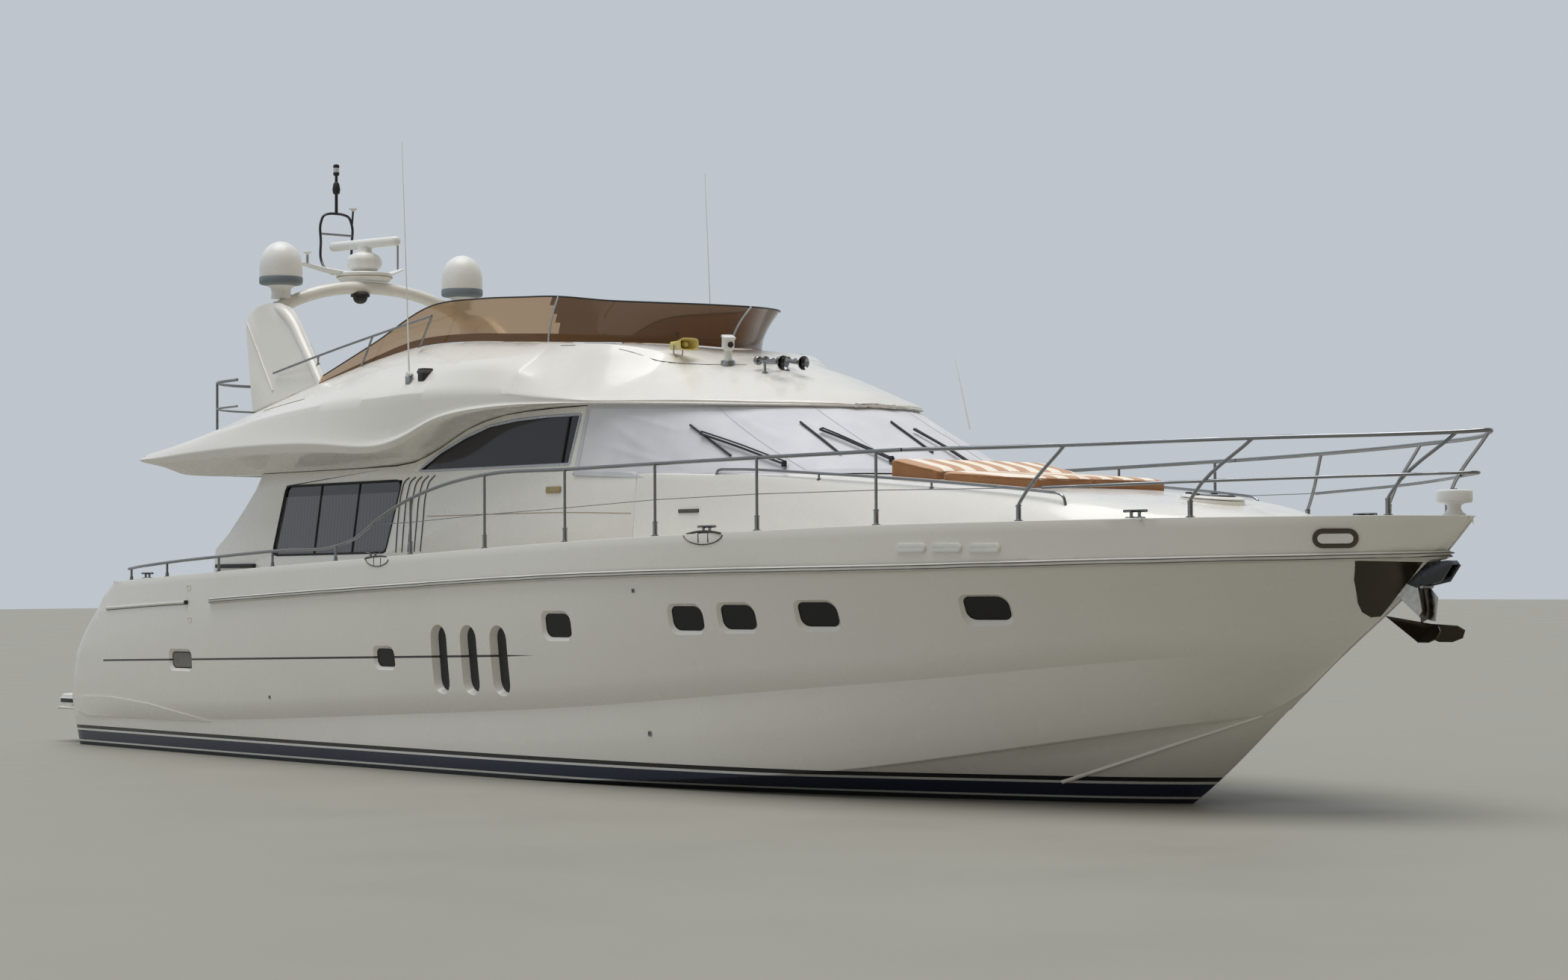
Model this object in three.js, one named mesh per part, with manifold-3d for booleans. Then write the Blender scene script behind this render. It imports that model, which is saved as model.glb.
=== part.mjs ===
// Flybridge motor yacht, about 21.5 m long. Millimetres.
// X runs forward from the after edge of the swim platform, Y to port, Z up from the waterline.
import * as THREE from 'three';
import { mergeVertices } from 'three/addons/utils/BufferGeometryUtils.js';
import Module from 'manifold-3d';

const wasm = await Module();
wasm.setup();

// Driving dimensions
const gap = 0.4; // between solids that touch
const bowX = 21500; // stem head
const transomX = 900; // hull's after end, at the platform
const wallT = 60; // deckhouse wall
const glassT = 10;
const deckDrop = 80; // deck below the gunwale cap
const capWidth = 120; // gunwale cap
const cockpitSoleZ = 1350;
const saloonSoleZ = 1500;
const cockpitAftX = 2250;
const bulkheadX = 4900; // saloon's after bulkhead
const saloonFrontX = 12300; // where the dashboard starts
const soffitZ = 3420; // underside of the flybridge aft
const shaftSlope = 9; // degrees, propeller shafts
const shaftY = 1050;
const propX = 2600;
const propZ = -980;
const propR = 400;
const bladePitch = 0.62; // radians
const coverOut = 40; // cloth cover, outside the windscreen

const strakeX = [4880, 21200]; // rubbing strake's after end, and where its nose begins
const strakeHalf = 36;
const strakeOut = 36;
const flareHollow = 60; // inward curve of the bow's flare
const sideRound = 25; // outward curve of the topsides amidships
const deckCamber = 30;
const cockpitHalf = 1900;
const saloonHalf = 1880;
const stairs = [1250, 1850]; // transom steps, from y to y
const stepRows = [[870, 1240], [1110, 1650]]; // step height, and how far forward it reaches
const doorHalf = 1000; // garage door
const doorLowZ = 760;
const doorHighZ = 1640;
const doorT = 55;
const gateX = 2180;
const platformHalf = 2150;
const platformZ = 630;
const doorwayHalf = 1100;
const doorwayZ = [1540, 3330];
const flySoleZ = 3600;
const flyHelmSoleZ = 4080;
const flyStepX = 8500;
const browX = 10450; // joint between the flybridge moulding and the brow ahead of it
const helmWell = [[8500, 1525], [9700, 1420], [browX, 1230]]; // raised well: x, half width
const solePanel = [3100, 8400, -1500, 1500]; // sole let into the flybridge moulding: x to x, y to y
const coamingTop = 130; // width of the coaming's flat top
const ladderway = [3350, 4750, 850, 1500]; // opening in the flybridge sole: x to x, y to y
const hoopX = 4500;
const hoopTopZ = 5920;
const hoopR = 82;
const radarX = 4290;
const scannerTurn = 0.23; // bar's rest angle, radians
const pulpitAftX = 16900;
const hatchX = 18600;
const hatchR = 300;
const hatchTilt = 0.1;
const rudderX = 1960;
const logAft = 2250; // shaft log's after end, ahead of the screw
const shaftEnd = 2700;
const cleatX = [3000, 8500, 14350, 19100];
const wheelTilt = 0.5;
const wheelAt = [9860, -690, 4640];
const windlassX = 21320;
const noseX = [20700, 20950]; // where the deck rises to the cap at the bow
const hingeRelief = [1480, 1602, 1568]; // room for the garage door's top edge: x to x, low z

// The transom in side view, from the gunwale down to the keel: x, z
const transomEdge = [
  [2130, 2400], [2110, 2110], [1860, 1950], [1690, 1760], [1330, 1470], [1110, 1200], [950, 640], [1010, 340],
  [1130, -1200],
];
const flyX = [
  2400, 2650, 2950, 3200, 3600, 4000, 4700, 5500, 6300, 7000, 7500, 7900, 8250, 8500, 8750, 9000, 9250,
  9550, 9900, 10350, 10800, 11150, 11500, 11900, 12300, 12650, 13000, 13300, 13550, 13720, 13850, 13940,
  14000,
];

// Hull lines: rows of x, half breadth, height
const sheerLine = [
  [900, 2300, 2075], [2100, 2390, 2120], [4000, 2520, 2190], [6500, 2620, 2290], [9300, 2665, 2390],
  [12100, 2670, 2490], [13600, 2635, 2530], [15100, 2560, 2560], [16600, 2385, 2590], [18100, 2040, 2600],
  [19550, 1420, 2610], [20500, 830, 2610], [21000, 470, 2610], [21500, 40, 2600],
];
const rubLine = [
  [900, 2350, 1700], [2100, 2430, 1750], [5000, 2575, 1880], [8000, 2655, 2000], [12200, 2675, 2140],
  [15100, 2545, 2180], [16600, 2355, 2190], [18100, 1985, 2215], [19600, 1340, 2240], [20500, 730, 2255],
  [21000, 300, 2265], [21220, 0, 2270],
];
const knuckleLine = [
  [900, 2360, 380], [4600, 2500, 430], [8350, 2520, 600], [12000, 2480, 790], [14650, 2250, 1000],
  [16800, 1850, 1170], [18200, 1350, 1310], [19300, 750, 1400], [20150, 0, 1450],
];
const chineLine = [
  [900, 2280, -120], [4000, 2360, -100], [8000, 2420, -60], [11000, 2400, 0], [13000, 2280, 80],
  [14300, 2120, 160], [15550, 1850, 270], [16800, 1480, 450], [17900, 1080, 620], [18800, 600, 770],
  [19450, 0, 870],
];
// Keel and stem: rows of x, height
const keelLine = [
  [900, -700], [4000, -860], [8000, -950], [11000, -940], [14500, -840], [16500, -650], [17600, -380],
  [18350, 0], [18790, 320], [19270, 720], [20060, 1380], [20740, 1880], [21220, 2280], [21500, 2570],
];
const stationX = [
  900, 1600, 2300, 3300, 4500, 5800, 7200, 8600, 10000, 11300, 12400, 13400, 14300, 15100, 15900, 16600,
  17300, 17900, 18400, 18850, 19300, 19700, 20100, 20500, 20850, 21150, 21380, 21500,
];

// Flybridge moulding: rows of x, underside z, soffit half width, edge half width, edge low z, edge z,
// ridge half width, ridge z, crease half width, crease z, coaming half width, coaming z
const flyRows = [
  [2400, 3630, 1950, 2190, 3645, 3695, 2150, 3705, 2080, 3712, 1800, 3722],
  [2650, 3570, 2000, 2270, 3620, 3710, 2210, 3730, 2100, 3745, 1850, 3770],
  [3200, 3460, 2020, 2340, 3600, 3735, 2260, 3775, 2130, 3820, 1900, 3870],
  [4000, soffitZ, 2030, 2400, 3600, 3790, 2300, 3860, 2150, 3930, 1930, 4010],
  [5500, soffitZ, 2030, 2460, 3620, 3830, 2350, 4035, 2170, 4170, 1870, 4330],
  [7000, soffitZ, 2020, 2470, 3600, 3800, 2360, 4150, 2150, 4360, 1760, 4640],
  [7900, 3425, 2010, 2430, 3550, 3700, 2340, 4172, 2130, 4425, 1690, 4780],
  [8250, 3455, 2000, 2400, 3555, 3690, 2330, 4180, 2120, 4440, 1670, 4800],
  [8750, 3600, 1985, 2360, 3665, 3770, 2310, 4193, 2100, 4465, 1645, 4795],
  [9250, 3795, 1960, 2310, 3855, 3930, 2270, 4185, 2075, 4485, 1620, 4775],
  [9900, 3920, 1930, 2250, 3940, 4005, 2210, 4160, 2040, 4485, 1580, 4725],
  [10350, 3945, 1900, 2180, 3965, 4015, 2140, 4125, 1990, 4400, 1545, 4700],
  [10800, 3955, 1860, 2080, 3975, 4010, 2050, 4075, 1930, 4230, 1500, 4670],
  [11150, 3957, 1830, 1990, 3972, 4000, 1965, 4030, 1890, 4110, 1450, 4650],
  [11500, 3955, 1780, 1890, 3968, 3990, 1870, 4000, 1820, 4020, 1350, 4615],
  [12300, 3920, 1600, 1690, 3932, 3960, 1665, 3975, 1600, 4005, 800, 4425],
  [13000, 3890, 1380, 1460, 3895, 3930, 1435, 3945, 1370, 3985, 620, 4290],
  [13550, 3870, 1060, 1130, 3875, 3900, 1105, 3915, 1040, 3950, 430, 4090],
  [13850, 3865, 600, 680, 3870, 3890, 650, 3900, 600, 3925, 300, 3980],
  [14000, 3865, 200, 260, 3868, 3885, 245, 3890, 220, 3900, 150, 3905],
];
const flyCrown = 60; // rise of the brow's middle over the coaming line

// Coachroof: rows of x, foot half width, foot z, shoulder half width, shoulder z, crown z
const coachRows = [
  [saloonFrontX + 5, 1885, 2400, 1812, 3205, 3225],
  [13300, 1900, 2420, 1780, 3165, 3205],
  [14200, 1905, 2430, 1745, 3120, 3190],
  [15100, 1875, 2450, 1680, 3055, 3160],
  [16200, 1800, 2480, 1580, 2965, 3050],
  [17300, 1690, 2495, 1450, 2875, 2945],
  [18200, 1520, 2500, 1270, 2780, 2840],
  [18900, 1200, 2505, 950, 2690, 2740],
  [19400, 800, 2510, 560, 2620, 2650],
  [19700, 400, 2515, 240, 2575, 2590],
];

// Windscreen edges, starboard half: rows of x, y, z
const screenFoot = [
  [11250, -1800, 3290], [12700, -1735, 3215], [13900, -1600, 3180], [14700, -1200, 3185], [15000, -600, 3185],
  [15080, 0, 3185],
];
const screenHead = [
  [11400, -1735, 3950], [12300, -1570, 3900], [13000, -1320, 3880], [13500, -1000, 3860], [13800, -520, 3855],
  [13900, 0, 3855],
];

function paint(color, roughness, metalness = 0) {
  return new THREE.MeshStandardMaterial({ color, roughness, metalness });
}
const gelcoat = paint('#eeece4', 0.25);
const steel = paint('#c9ccd0', 0.2, 1);
const tinted = paint('#3a3d40', 0.1);
const bronze = paint('#8a5a2a', 0.12);
const rubber = paint('#222325', 0.6);
const cloth = paint('#e6e7ea', 0.9);
const cushion = paint('#c79a6a', 0.9);
const bronzeMetal = paint('#a0823c', 0.35, 1);
const yellow = paint('#d9c46a', 0.4);

const yacht = new THREE.Group();

function toGeometry(manifold) {
  const m = manifold.getMesh();
  const g = new THREE.BufferGeometry();
  g.setAttribute('position', new THREE.BufferAttribute(new Float32Array(m.vertProperties), 3));
  g.setIndex(new THREE.BufferAttribute(new Uint32Array(m.triVerts), 1));
  return g;
}

function toManifold(geometry) {
  const g = geometry.clone();
  g.deleteAttribute('normal');
  g.deleteAttribute('uv');
  const merged = mergeVertices(g, 1e-3);
  return new wasm.Manifold(new wasm.Mesh({
    numProp: 3,
    vertProperties: new Float32Array(merged.attributes.position.array),
    triVerts: new Uint32Array(merged.index.array),
  }));
}

function join(...pieces) {
  return toGeometry(pieces.map(toManifold).reduce((a, b) => a.add(b)));
}

function common(a, b) {
  return toGeometry(toManifold(a).intersect(toManifold(b)));
}

function cut(body, ...tools) {
  return toGeometry(tools.map(toManifold).reduce((a, b) => a.subtract(b), toManifold(body)));
}

// The same piece on the other side of the centreline
function mirrored(geometry) {
  const g = geometry.clone().scale(1, -1, 1);
  if (!g.index) g.setIndex([...Array(g.attributes.position.count).keys()]);
  const index = g.index.array.slice();
  for (let i = 0; i < index.length; i += 3) [index[i], index[i + 1]] = [index[i + 1], index[i]];
  g.setIndex(new THREE.BufferAttribute(index, 1));
  return g;
}

function add(name, geometry, material) {
  const mesh = new THREE.Mesh(geometry, material);
  mesh.name = name;
  yacht.add(mesh);
}

function addPair(name, geometry, material) {
  add(`${name}_starboard`, geometry, material);
  add(`${name}_port`, mirrored(geometry), material);
}

// Smooth interpolation of a table of rows on their first column
function row(rows, x) {
  const n = rows.length;
  if (x <= rows[0][0]) return rows[0];
  if (x >= rows[n - 1][0]) return rows[n - 1];
  let i = rows.findIndex((r) => r[0] > x) - 1;
  const [p, q] = [rows[i], rows[i + 1]];
  const [o, r] = [rows[Math.max(i - 1, 0)], rows[Math.min(i + 2, n - 1)]];
  const h = q[0] - p[0];
  const t = (x - p[0]) / h;
  return p.map((value, k) => {
    const slopeP = (q[k] - o[k]) / (q[0] - o[0]);
    const slopeQ = (r[k] - p[k]) / (r[0] - p[0]);
    return value * (2 * t ** 3 - 3 * t ** 2 + 1) + slopeP * h * (t ** 3 - 2 * t ** 2 + t)
      + q[k] * (3 * t ** 2 - 2 * t ** 3) + slopeQ * h * (t ** 3 - t ** 2);
  });
}

// A closed solid through rings of points; flat ends are filled in the plane of the two given axes
function loft(rings, flat = 'yz') {
  const count = rings[0].length;
  const index = [];
  for (let s = 0; s + 1 < rings.length; s += 1) {
    for (let i = 0; i < count; i += 1) {
      const a = s * count + i;
      const b = s * count + (i + 1) % count;
      index.push(a, b, a + count, b, b + count, a + count);
    }
  }
  const pick = { x: 0, y: 1, z: 2 };
  for (const s of [0, rings.length - 1]) {
    const outline = rings[s].map((p) => new THREE.Vector2(p[pick[flat[0]]], p[pick[flat[1]]]));
    for (const [a, b, c] of THREE.ShapeUtils.triangulateShape(outline, [])) {
      const o = s * count;
      const up = THREE.ShapeUtils.area([outline[a], outline[b], outline[c]]) > 0;
      const ring = THREE.ShapeUtils.area(outline) > 0;
      const keep = (up === ring) === (s > 0);
      index.push(...(keep ? [o + a, o + b, o + c] : [o + a, o + c, o + b]));
    }
  }
  const g = new THREE.BufferGeometry();
  g.setAttribute('position', new THREE.BufferAttribute(new Float32Array(rings.flat(2)), 3));
  g.setIndex(index);
  return outward(g);
}

// Turns a closed solid's faces outwards
function outward(g) {
  const p = g.attributes.position;
  const ix = g.index.array;
  const [a, b, c] = [new THREE.Vector3(), new THREE.Vector3(), new THREE.Vector3()];
  let volume = 0;
  for (let i = 0; i < ix.length; i += 3) {
    a.fromBufferAttribute(p, ix[i]);
    b.fromBufferAttribute(p, ix[i + 1]);
    c.fromBufferAttribute(p, ix[i + 2]);
    volume += a.dot(b.cross(c));
  }
  if (volume < 0) for (let i = 0; i < ix.length; i += 3) [ix[i], ix[i + 1]] = [ix[i + 1], ix[i]];
  return g;
}

const box = (x0, x1, y0, y1, z0, z1) => new THREE.BoxGeometry(x1 - x0, y1 - y0, z1 - z0)
  .translate((x0 + x1) / 2, (y0 + y1) / 2, (z0 + z1) / 2);

// A plate drawn in the XZ plane, from y0 to y1
function sidePlate(points, y0, y1, holes = []) {
  const shape = new THREE.Shape(points.map(([x, z]) => new THREE.Vector2(x, z)));
  shape.holes = holes.map((h) => new THREE.Path(h.map(([x, z]) => new THREE.Vector2(x, z))));
  return new THREE.ExtrudeGeometry(shape, { depth: y1 - y0, bevelEnabled: false, curveSegments: 6 })
    .rotateX(Math.PI / 2).translate(0, y1, 0);
}

// A plate drawn in the XY plane, from z0 to z1
function flatPlate(shape, z0, z1, curveSegments = 6) {
  const depth = z1 - z0;
  return new THREE.ExtrudeGeometry(shape, { depth, bevelEnabled: false, curveSegments }).translate(0, 0, z0);
}

function roundedShape(x0, x1, y0, y1, r) {
  const s = new THREE.Shape();
  s.moveTo(x0 + r, y0);
  s.lineTo(x1 - r, y0);
  s.absarc(x1 - r, y0 + r, r, -Math.PI / 2, 0);
  s.lineTo(x1, y1 - r);
  s.absarc(x1 - r, y1 - r, r, 0, Math.PI / 2);
  s.lineTo(x0 + r, y1);
  s.absarc(x0 + r, y1 - r, r, Math.PI / 2, Math.PI);
  s.lineTo(x0, y0 + r);
  s.absarc(x0 + r, y0 + r, r, Math.PI, 1.5 * Math.PI);
  return s;
}

// A round tube through points; smooth unless straight is asked for
function tube(points, radius, steps = points.length * 3, sides = 6) {
  const path = new THREE.CatmullRomCurve3(points.map((p) => new THREE.Vector3(...p)), false, 'centripetal');
  const shape = new THREE.Shape().absarc(0, 0, radius, 0, 2 * Math.PI);
  return new THREE.ExtrudeGeometry(shape, {
    extrudePath: path, steps, curveSegments: sides / 2, bevelEnabled: false,
  });
}

const rod = (a, b, radius, sides = 6) => tube([a, b], radius, 1, sides);

// Turned piece about the vertical line at x, y
function turned(profile, x, y, z, segments = 20) {
  return new THREE.LatheGeometry(profile.map(([r, h]) => new THREE.Vector2(r, h)), segments)
    .rotateX(Math.PI / 2).translate(x, y, z);
}

// Hull lines as a ring of points at one station
function hullRing(x) {
  const keelZ = row(keelLine, x)[1];
  const at = (line, rank) => {
    if (x >= line[line.length - 1][0]) return [x, 12 + rank * 3, keelZ + rank * 2];
    const r = row(line, x);
    return [x, Math.max(r[1], 12 + rank * 3), Math.max(r[2], keelZ + rank * 2)];
  };
  const bow = THREE.MathUtils.smoothstep(x, 12500, 19000);
  const [, chineY, chineZ] = at(chineLine, 2);
  const [, knuckleY, knuckleZ] = at(knuckleLine, 4);
  const [, rubY, rubZ] = at(rubLine, 8);
  const [, sheerY, sheerZ] = row(sheerLine, x);
  const flat = Math.min(70, chineY * 0.25);
  const hollow = 4 * (flareHollow * bow - sideRound * (1 - bow)) * Math.min(1, rubY / 900);
  const side = (t) => [
    knuckleY + (rubY - knuckleY) * t - hollow * t * (1 - t), knuckleZ + (rubZ - knuckleZ) * t,
  ];
  const cap = Math.min(capWidth, sheerY * 0.5);
  const level = 1 - 0.95 * THREE.MathUtils.smoothstep(x, ...noseX);
  const drop = Math.min(deckDrop, (sheerZ - keelZ) * 0.25) * level;
  const half = [
    [0, keelZ], [chineY * 0.5, keelZ + (chineZ - keelZ) * 0.44], [chineY - flat, chineZ - 20],
    [chineY, chineZ], [knuckleY, knuckleZ], side(0.33), side(0.66), [rubY, rubZ], [sheerY, sheerZ],
    [sheerY - cap, sheerZ], [sheerY - cap * 1.15, sheerZ - drop],
  ];
  const port = half.slice(1).reverse().map(([y, z]) => [x, y, z]);
  const deckMiddle = [x, 0, sheerZ - drop * (1 - deckCamber / deckDrop)];
  return [...half.map(([y, z]) => [x, -y, z]), deckMiddle, ...port];
}

const deckZ = (x) => row(sheerLine, x)[2] - deckDrop;

function transomXAt(z) {
  const i = transomEdge.findIndex((p) => p[1] < z);
  const [p, q] = [transomEdge[i - 1], transomEdge[i]];
  return p[0] + (q[0] - p[0]) * (z - p[1]) / (q[1] - p[1]);
}

// Band in side view that follows the transom between two heights, from one depth to another ahead of it
function transomBand(lowZ, highZ, near, far) {
  const between = transomEdge.map((p) => p[1]).filter((z) => z > lowZ && z < highZ).reverse();
  const heights = [lowZ, ...between, highZ];
  const edge = (depth) => heights.map((z) => [transomXAt(z) + depth, z]);
  return [...edge(near), ...edge(far).reverse()];
}

const bothSides = (low, high, make) => [make(low, high), make(-high, -low)];

// Hull: a decked solid with wells for the cockpit, the saloon, the garage door and the transom steps
const hullShell = loft(stationX.map(hullRing));
function hull() {
  const behind = sidePlate([...transomEdge, [0, -1200], [0, 2400]], -3000, 3000);
  const cockpit = box(cockpitAftX, bulkheadX + 100, -cockpitHalf, cockpitHalf, cockpitSoleZ, 3000);
  const saloon = box(bulkheadX, saloonFrontX, -saloonHalf, saloonHalf, saloonSoleZ, 3000);
  const recess = sidePlate(transomBand(doorLowZ, doorHighZ, -400, doorT + 6), -doorHalf, doorHalf);
  const [reliefAft, reliefFront, reliefZ] = hingeRelief;
  const relief = box(reliefAft, reliefFront, -doorHalf, doorHalf, reliefZ, doorHighZ);
  const steps = stepRows.flatMap(([z, x]) => bothSides(...stairs, (a, b) => box(0, x, a, b, z, 3000)));
  const gates = bothSides(...stairs, (a, b) => box(1500, cockpitAftX + 50, a, b, cockpitSoleZ, 3000));
  return cut(hullShell, behind, cockpit, saloon, recess, relief, ...steps, ...gates);
}

// Mooring cleat on the gunwale cap
function cleat(x) {
  const [, breadth, z] = row(sheerLine, x);
  const y = 62 - breadth;
  return join(
    box(x - 95, x + 95, y - 32, y + 32, z - 20, z + 14),
    box(x - 60, x - 35, y - 12, y + 12, z, z + 66),
    box(x + 35, x + 60, y - 12, y + 12, z, z + 66),
    rod([x - 140, y, z + 66], [x + 140, y, z + 66], 14),
  );
}

// Places along a propeller shaft: distance ahead of the screw, and height above the shaft's line
const slope = THREE.MathUtils.degToRad(shaftSlope);
const along = (d, up = 0) => [
  propX + d * Math.cos(slope) - up * Math.sin(slope),
  -shaftY,
  propZ + d * Math.sin(slope) + up * Math.cos(slope),
];

// Everything that is moulded or bolted to the hull
function fittedHull() {
  const log = rod(along(logAft), along(logAft + 1500), 80, 12);
  const logBore = rod(along(logAft - 10), along(shaftEnd + 60), 46, 12);
  const boss = turned([[0, 0], [75, 0], [75, 400], [0, 400]], rudderX, -shaftY, -532, 16);
  const fittings = [log, boss, ...cleatX.map(cleat)];
  return cut(join(hull(), ...fittings, ...fittings.map(mirrored)), logBore, mirrored(logBore));
}
const hullSolid = fittedHull();
add('hull', hullSolid, gelcoat);
const underHull = (g) => cut(g, hullSolid.clone().translate(0, 0, -gap));
const overHull = (g) => cut(g, hullSolid.clone().translate(0, 0, gap));

// Rubbing strake: one strip from side to side round the bow
function strake() {
  const xs = [strakeX[0], ...stationX.filter((x) => x > strakeX[0] && x < strakeX[1])];
  const points = xs.map((x) => row(rubLine, x));
  const ring = ([x, y, z], i) => {
    const [a, b] = [points[Math.max(i - 1, 0)], points[Math.min(i + 1, points.length - 1)]];
    const d = Math.hypot(b[0] - a[0], b[1] - a[1]);
    const [nx, ny] = [-(b[1] - a[1]) / d, (b[0] - a[0]) / d];
    const [, sheerY, sheerZ] = row(sheerLine, x);
    const lean = Math.max(0, (sheerY - y) / (sheerZ - z)) * strakeHalf;
    return [[5, -1], [strakeOut, -0.6], [strakeOut + lean, 0.6], [7 + lean, 1]]
      .map(([out, up]) => [x + nx * out, y + ny * out, z + up * strakeHalf]);
  };
  const port = points.map(ring);
  const starboard = port.map((r) => r.map(([x, y, z]) => [x, -y, z]));
  const nose = [[9, -1], [strakeOut, -0.6], [strakeOut + 34, 0.6], [46, 1]]
    .map(([out, up]) => [21225 + out, 0, 2270 + up * strakeHalf]);
  return loft([...starboard, nose, ...port.reverse()]);
}
add('rubbing_strake', strake(), rubber);

// Swim platform with a tapered underside
function swimPlatform() {
  const shape = (inset) => roundedShape(inset, 1400, -platformHalf + inset, platformHalf - inset, 320);
  const slab = flatPlate(shape(0), platformZ - 110, platformZ);
  const under = flatPlate(shape(90), platformZ - 200, platformZ - 100);
  const hullZone = sidePlate([...transomEdge, [3000, -1200], [3000, 2400]], -3000, 3000).translate(-2, 0, 0);
  return cut(join(slab, under), hullZone);
}
add('swim_platform', swimPlatform(), gelcoat);

// Garage door in the transom, hinged at its top edge
add('garage_door', sidePlate(
  transomBand(doorLowZ + 6, doorHighZ - 6, 0, doorT), -doorHalf + 6, doorHalf - 6,
), gelcoat);

// Gates at the head of the transom steps
const gateZ = [cockpitSoleZ + 12, cockpitSoleZ + 730];
const gateLeaf = box(gateX, gateX + 40, -stairs[1] + 6, -stairs[0] - 6, ...gateZ);
addPair('transom_gate', gateLeaf, gelcoat);

// Deckhouse side wall: breadth at a place in side view
const wallY = (x, z) => 2060 - (x - 4060) * 0.02 - (z - 2300) * 0.09;

// Plate drawn in side view, laid on the wall's slope on the starboard side
function wallPlate(points, outset, thickness, holes = []) {
  const g = sidePlate(points, 0, thickness, holes);
  const p = g.attributes.position;
  for (let i = 0; i < p.count; i += 1) p.setY(i, p.getY(i) - wallY(p.getX(i), p.getZ(i)) - outset);
  return g;
}

function shrunk(points, amount) {
  const cx = points.reduce((sum, p) => sum + p[0], 0) / points.length;
  const cz = points.reduce((sum, p) => sum + p[1], 0) / points.length;
  return points.map(([x, z]) => {
    const d = Math.hypot(x - cx, z - cz);
    return [cx + (x - cx) * (1 - amount / d), cz + (z - cz) * (1 - amount / d)];
  });
}

const saloonWindow = [[5385, 2420], [7790, 2430], [8030, 3255], [5590, 3250]];
const helmWindow = [
  [8330, 3350], [11140, 3340], [11290, 3865], [10700, 3872], [10150, 3855], [9650, 3810], [9200, 3700],
  [8750, 3550],
];
function deckhouseSide() {
  const footXs = stationX.filter((x) => x > 4060 && x < saloonFrontX);
  const foot = [4060, ...footXs, saloonFrontX].map((x) => [x, deckZ(x) + 9]);
  const headXs = flyX.filter((x) => x > 5030 && x < 11380);
  const head = [5030, ...headXs, 11385].map((x) => [x, row(flyRows, x)[1] - 4]).reverse();
  const front = [[saloonFrontX, 3222], [11235, 3284]];
  const aft = [[4900, 3220], [4710, 3030], [4350, 2700], [4070, 2510]];
  return wallPlate([...foot, ...front, ...head, ...aft], 0, wallT, [saloonWindow, helmWindow]);
}
addPair('deckhouse_side', deckhouseSide(), gelcoat);
addPair('saloon_window', wallPlate(shrunk(saloonWindow, 4), -20, glassT), tinted);
addPair('helm_window', wallPlate(shrunk(helmWindow, 5), -20, glassT), tinted);

// Saloon's after bulkhead with its doorway, the fixed leaf and the sliding leaf
function plateYZ(points, x0, x1, holes = []) {
  const shape = new THREE.Shape(points.map(([y, z]) => new THREE.Vector2(y, z)));
  shape.holes = holes.map((h) => new THREE.Path(h.map(([y, z]) => new THREE.Vector2(y, z))));
  return new THREE.ExtrudeGeometry(shape, { depth: x1 - x0, bevelEnabled: false })
    .rotateZ(Math.PI / 2).rotateY(Math.PI / 2).translate(x0, 0, 0);
}
function bulkhead() {
  const inner = (z) => wallY(bulkheadX, z) - wallT - 3;
  const sill = saloonHalf - 5;
  const half = [[sill, saloonSoleZ + 3], [sill, 2190], [inner(2190), 2190], [inner(3414), 3414]];
  const outline = [...half, ...half.map(([y, z]) => [-y, z]).reverse()];
  const [low, high] = doorwayZ;
  const doorway = [[-doorwayHalf, low], [doorwayHalf, low], [doorwayHalf, high], [-doorwayHalf, high]];
  return plateYZ(outline, bulkheadX + 5, bulkheadX + 65, [doorway]);
}
add('after_bulkhead', bulkhead(), gelcoat);
add('saloon_fixed_leaf', box(bulkheadX + 15, bulkheadX + 45, 10, doorwayHalf - 1, 1541, 3329), tinted);
add('saloon_door', box(bulkheadX + 72, bulkheadX + 104, -doorwayHalf - 30, 40, 1510, 3350), tinted);

// Flybridge moulding: one loft, with a well whose floor steps up over the lower helm
function flyRing(x) {
  const r = row(flyRows, x);
  const [, under, soffitY, edgeY, lipZ, edgeZ, ridgeY, ridgeZ, creaseY, creaseZ, coamingY, coamingZ] = r;
  const half = [
    [soffitY, under], [edgeY - 40, lipZ], [edgeY, (lipZ + edgeZ) / 2], [edgeY - 40, edgeZ], [ridgeY, ridgeZ],
    [creaseY, creaseZ], [coamingY, coamingZ],
  ];
  const port = half.map(([y, z]) => [x, y, z]).reverse();
  return [[x, 0, under], ...half.map(([y, z]) => [x, -y, z]), [x, 0, coamingZ + flyCrown], ...port];
}
const coamingAt = (x) => row(flyRows, x).slice(10);
const wellRing = (x, half, floor) => [[x, -half, floor], [x, half, floor], [x, half, 6000], [x, -half, 6000]];
function flybridge() {
  const shell = loft(flyX.map(flyRing));
  const aftXs = [3000, ...flyX.filter((x) => x > 3000 && x < flyStepX), flyStepX];
  const aftWell = loft(aftXs.map((x) => wellRing(x, coamingAt(x)[0] - coamingTop, flySoleZ)));
  const raised = loft(helmWell.map(([x, half]) => wellRing(x, half, flyHelmSoleZ)));
  const step = box(flyStepX - 5, flyStepX + 5, -helmWell[0][1], helmWell[0][1], flyHelmSoleZ, 6000);
  const hatchway = box(...ladderway, 3000, 5000);
  return cut(shell, aftWell, raised, step, hatchway);
}
const flySolid = flybridge();
const soleRoom = (inset) => {
  const [x0, x1, y0, y1] = solePanel;
  return box(x0 + inset, x1 - inset, y0 + inset, y1 - inset, 3000, 6000);
};
const browRoom = (x) => box(x, 15000, -3000, 3000, 3000, 6000);
add('flybridge', cut(flySolid, soleRoom(0), browRoom(browX)), gelcoat);
add('flybridge_sole', common(flySolid, soleRoom(gap)), gelcoat);
add('flybridge_brow', common(flySolid, browRoom(browX + gap)), gelcoat);

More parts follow.
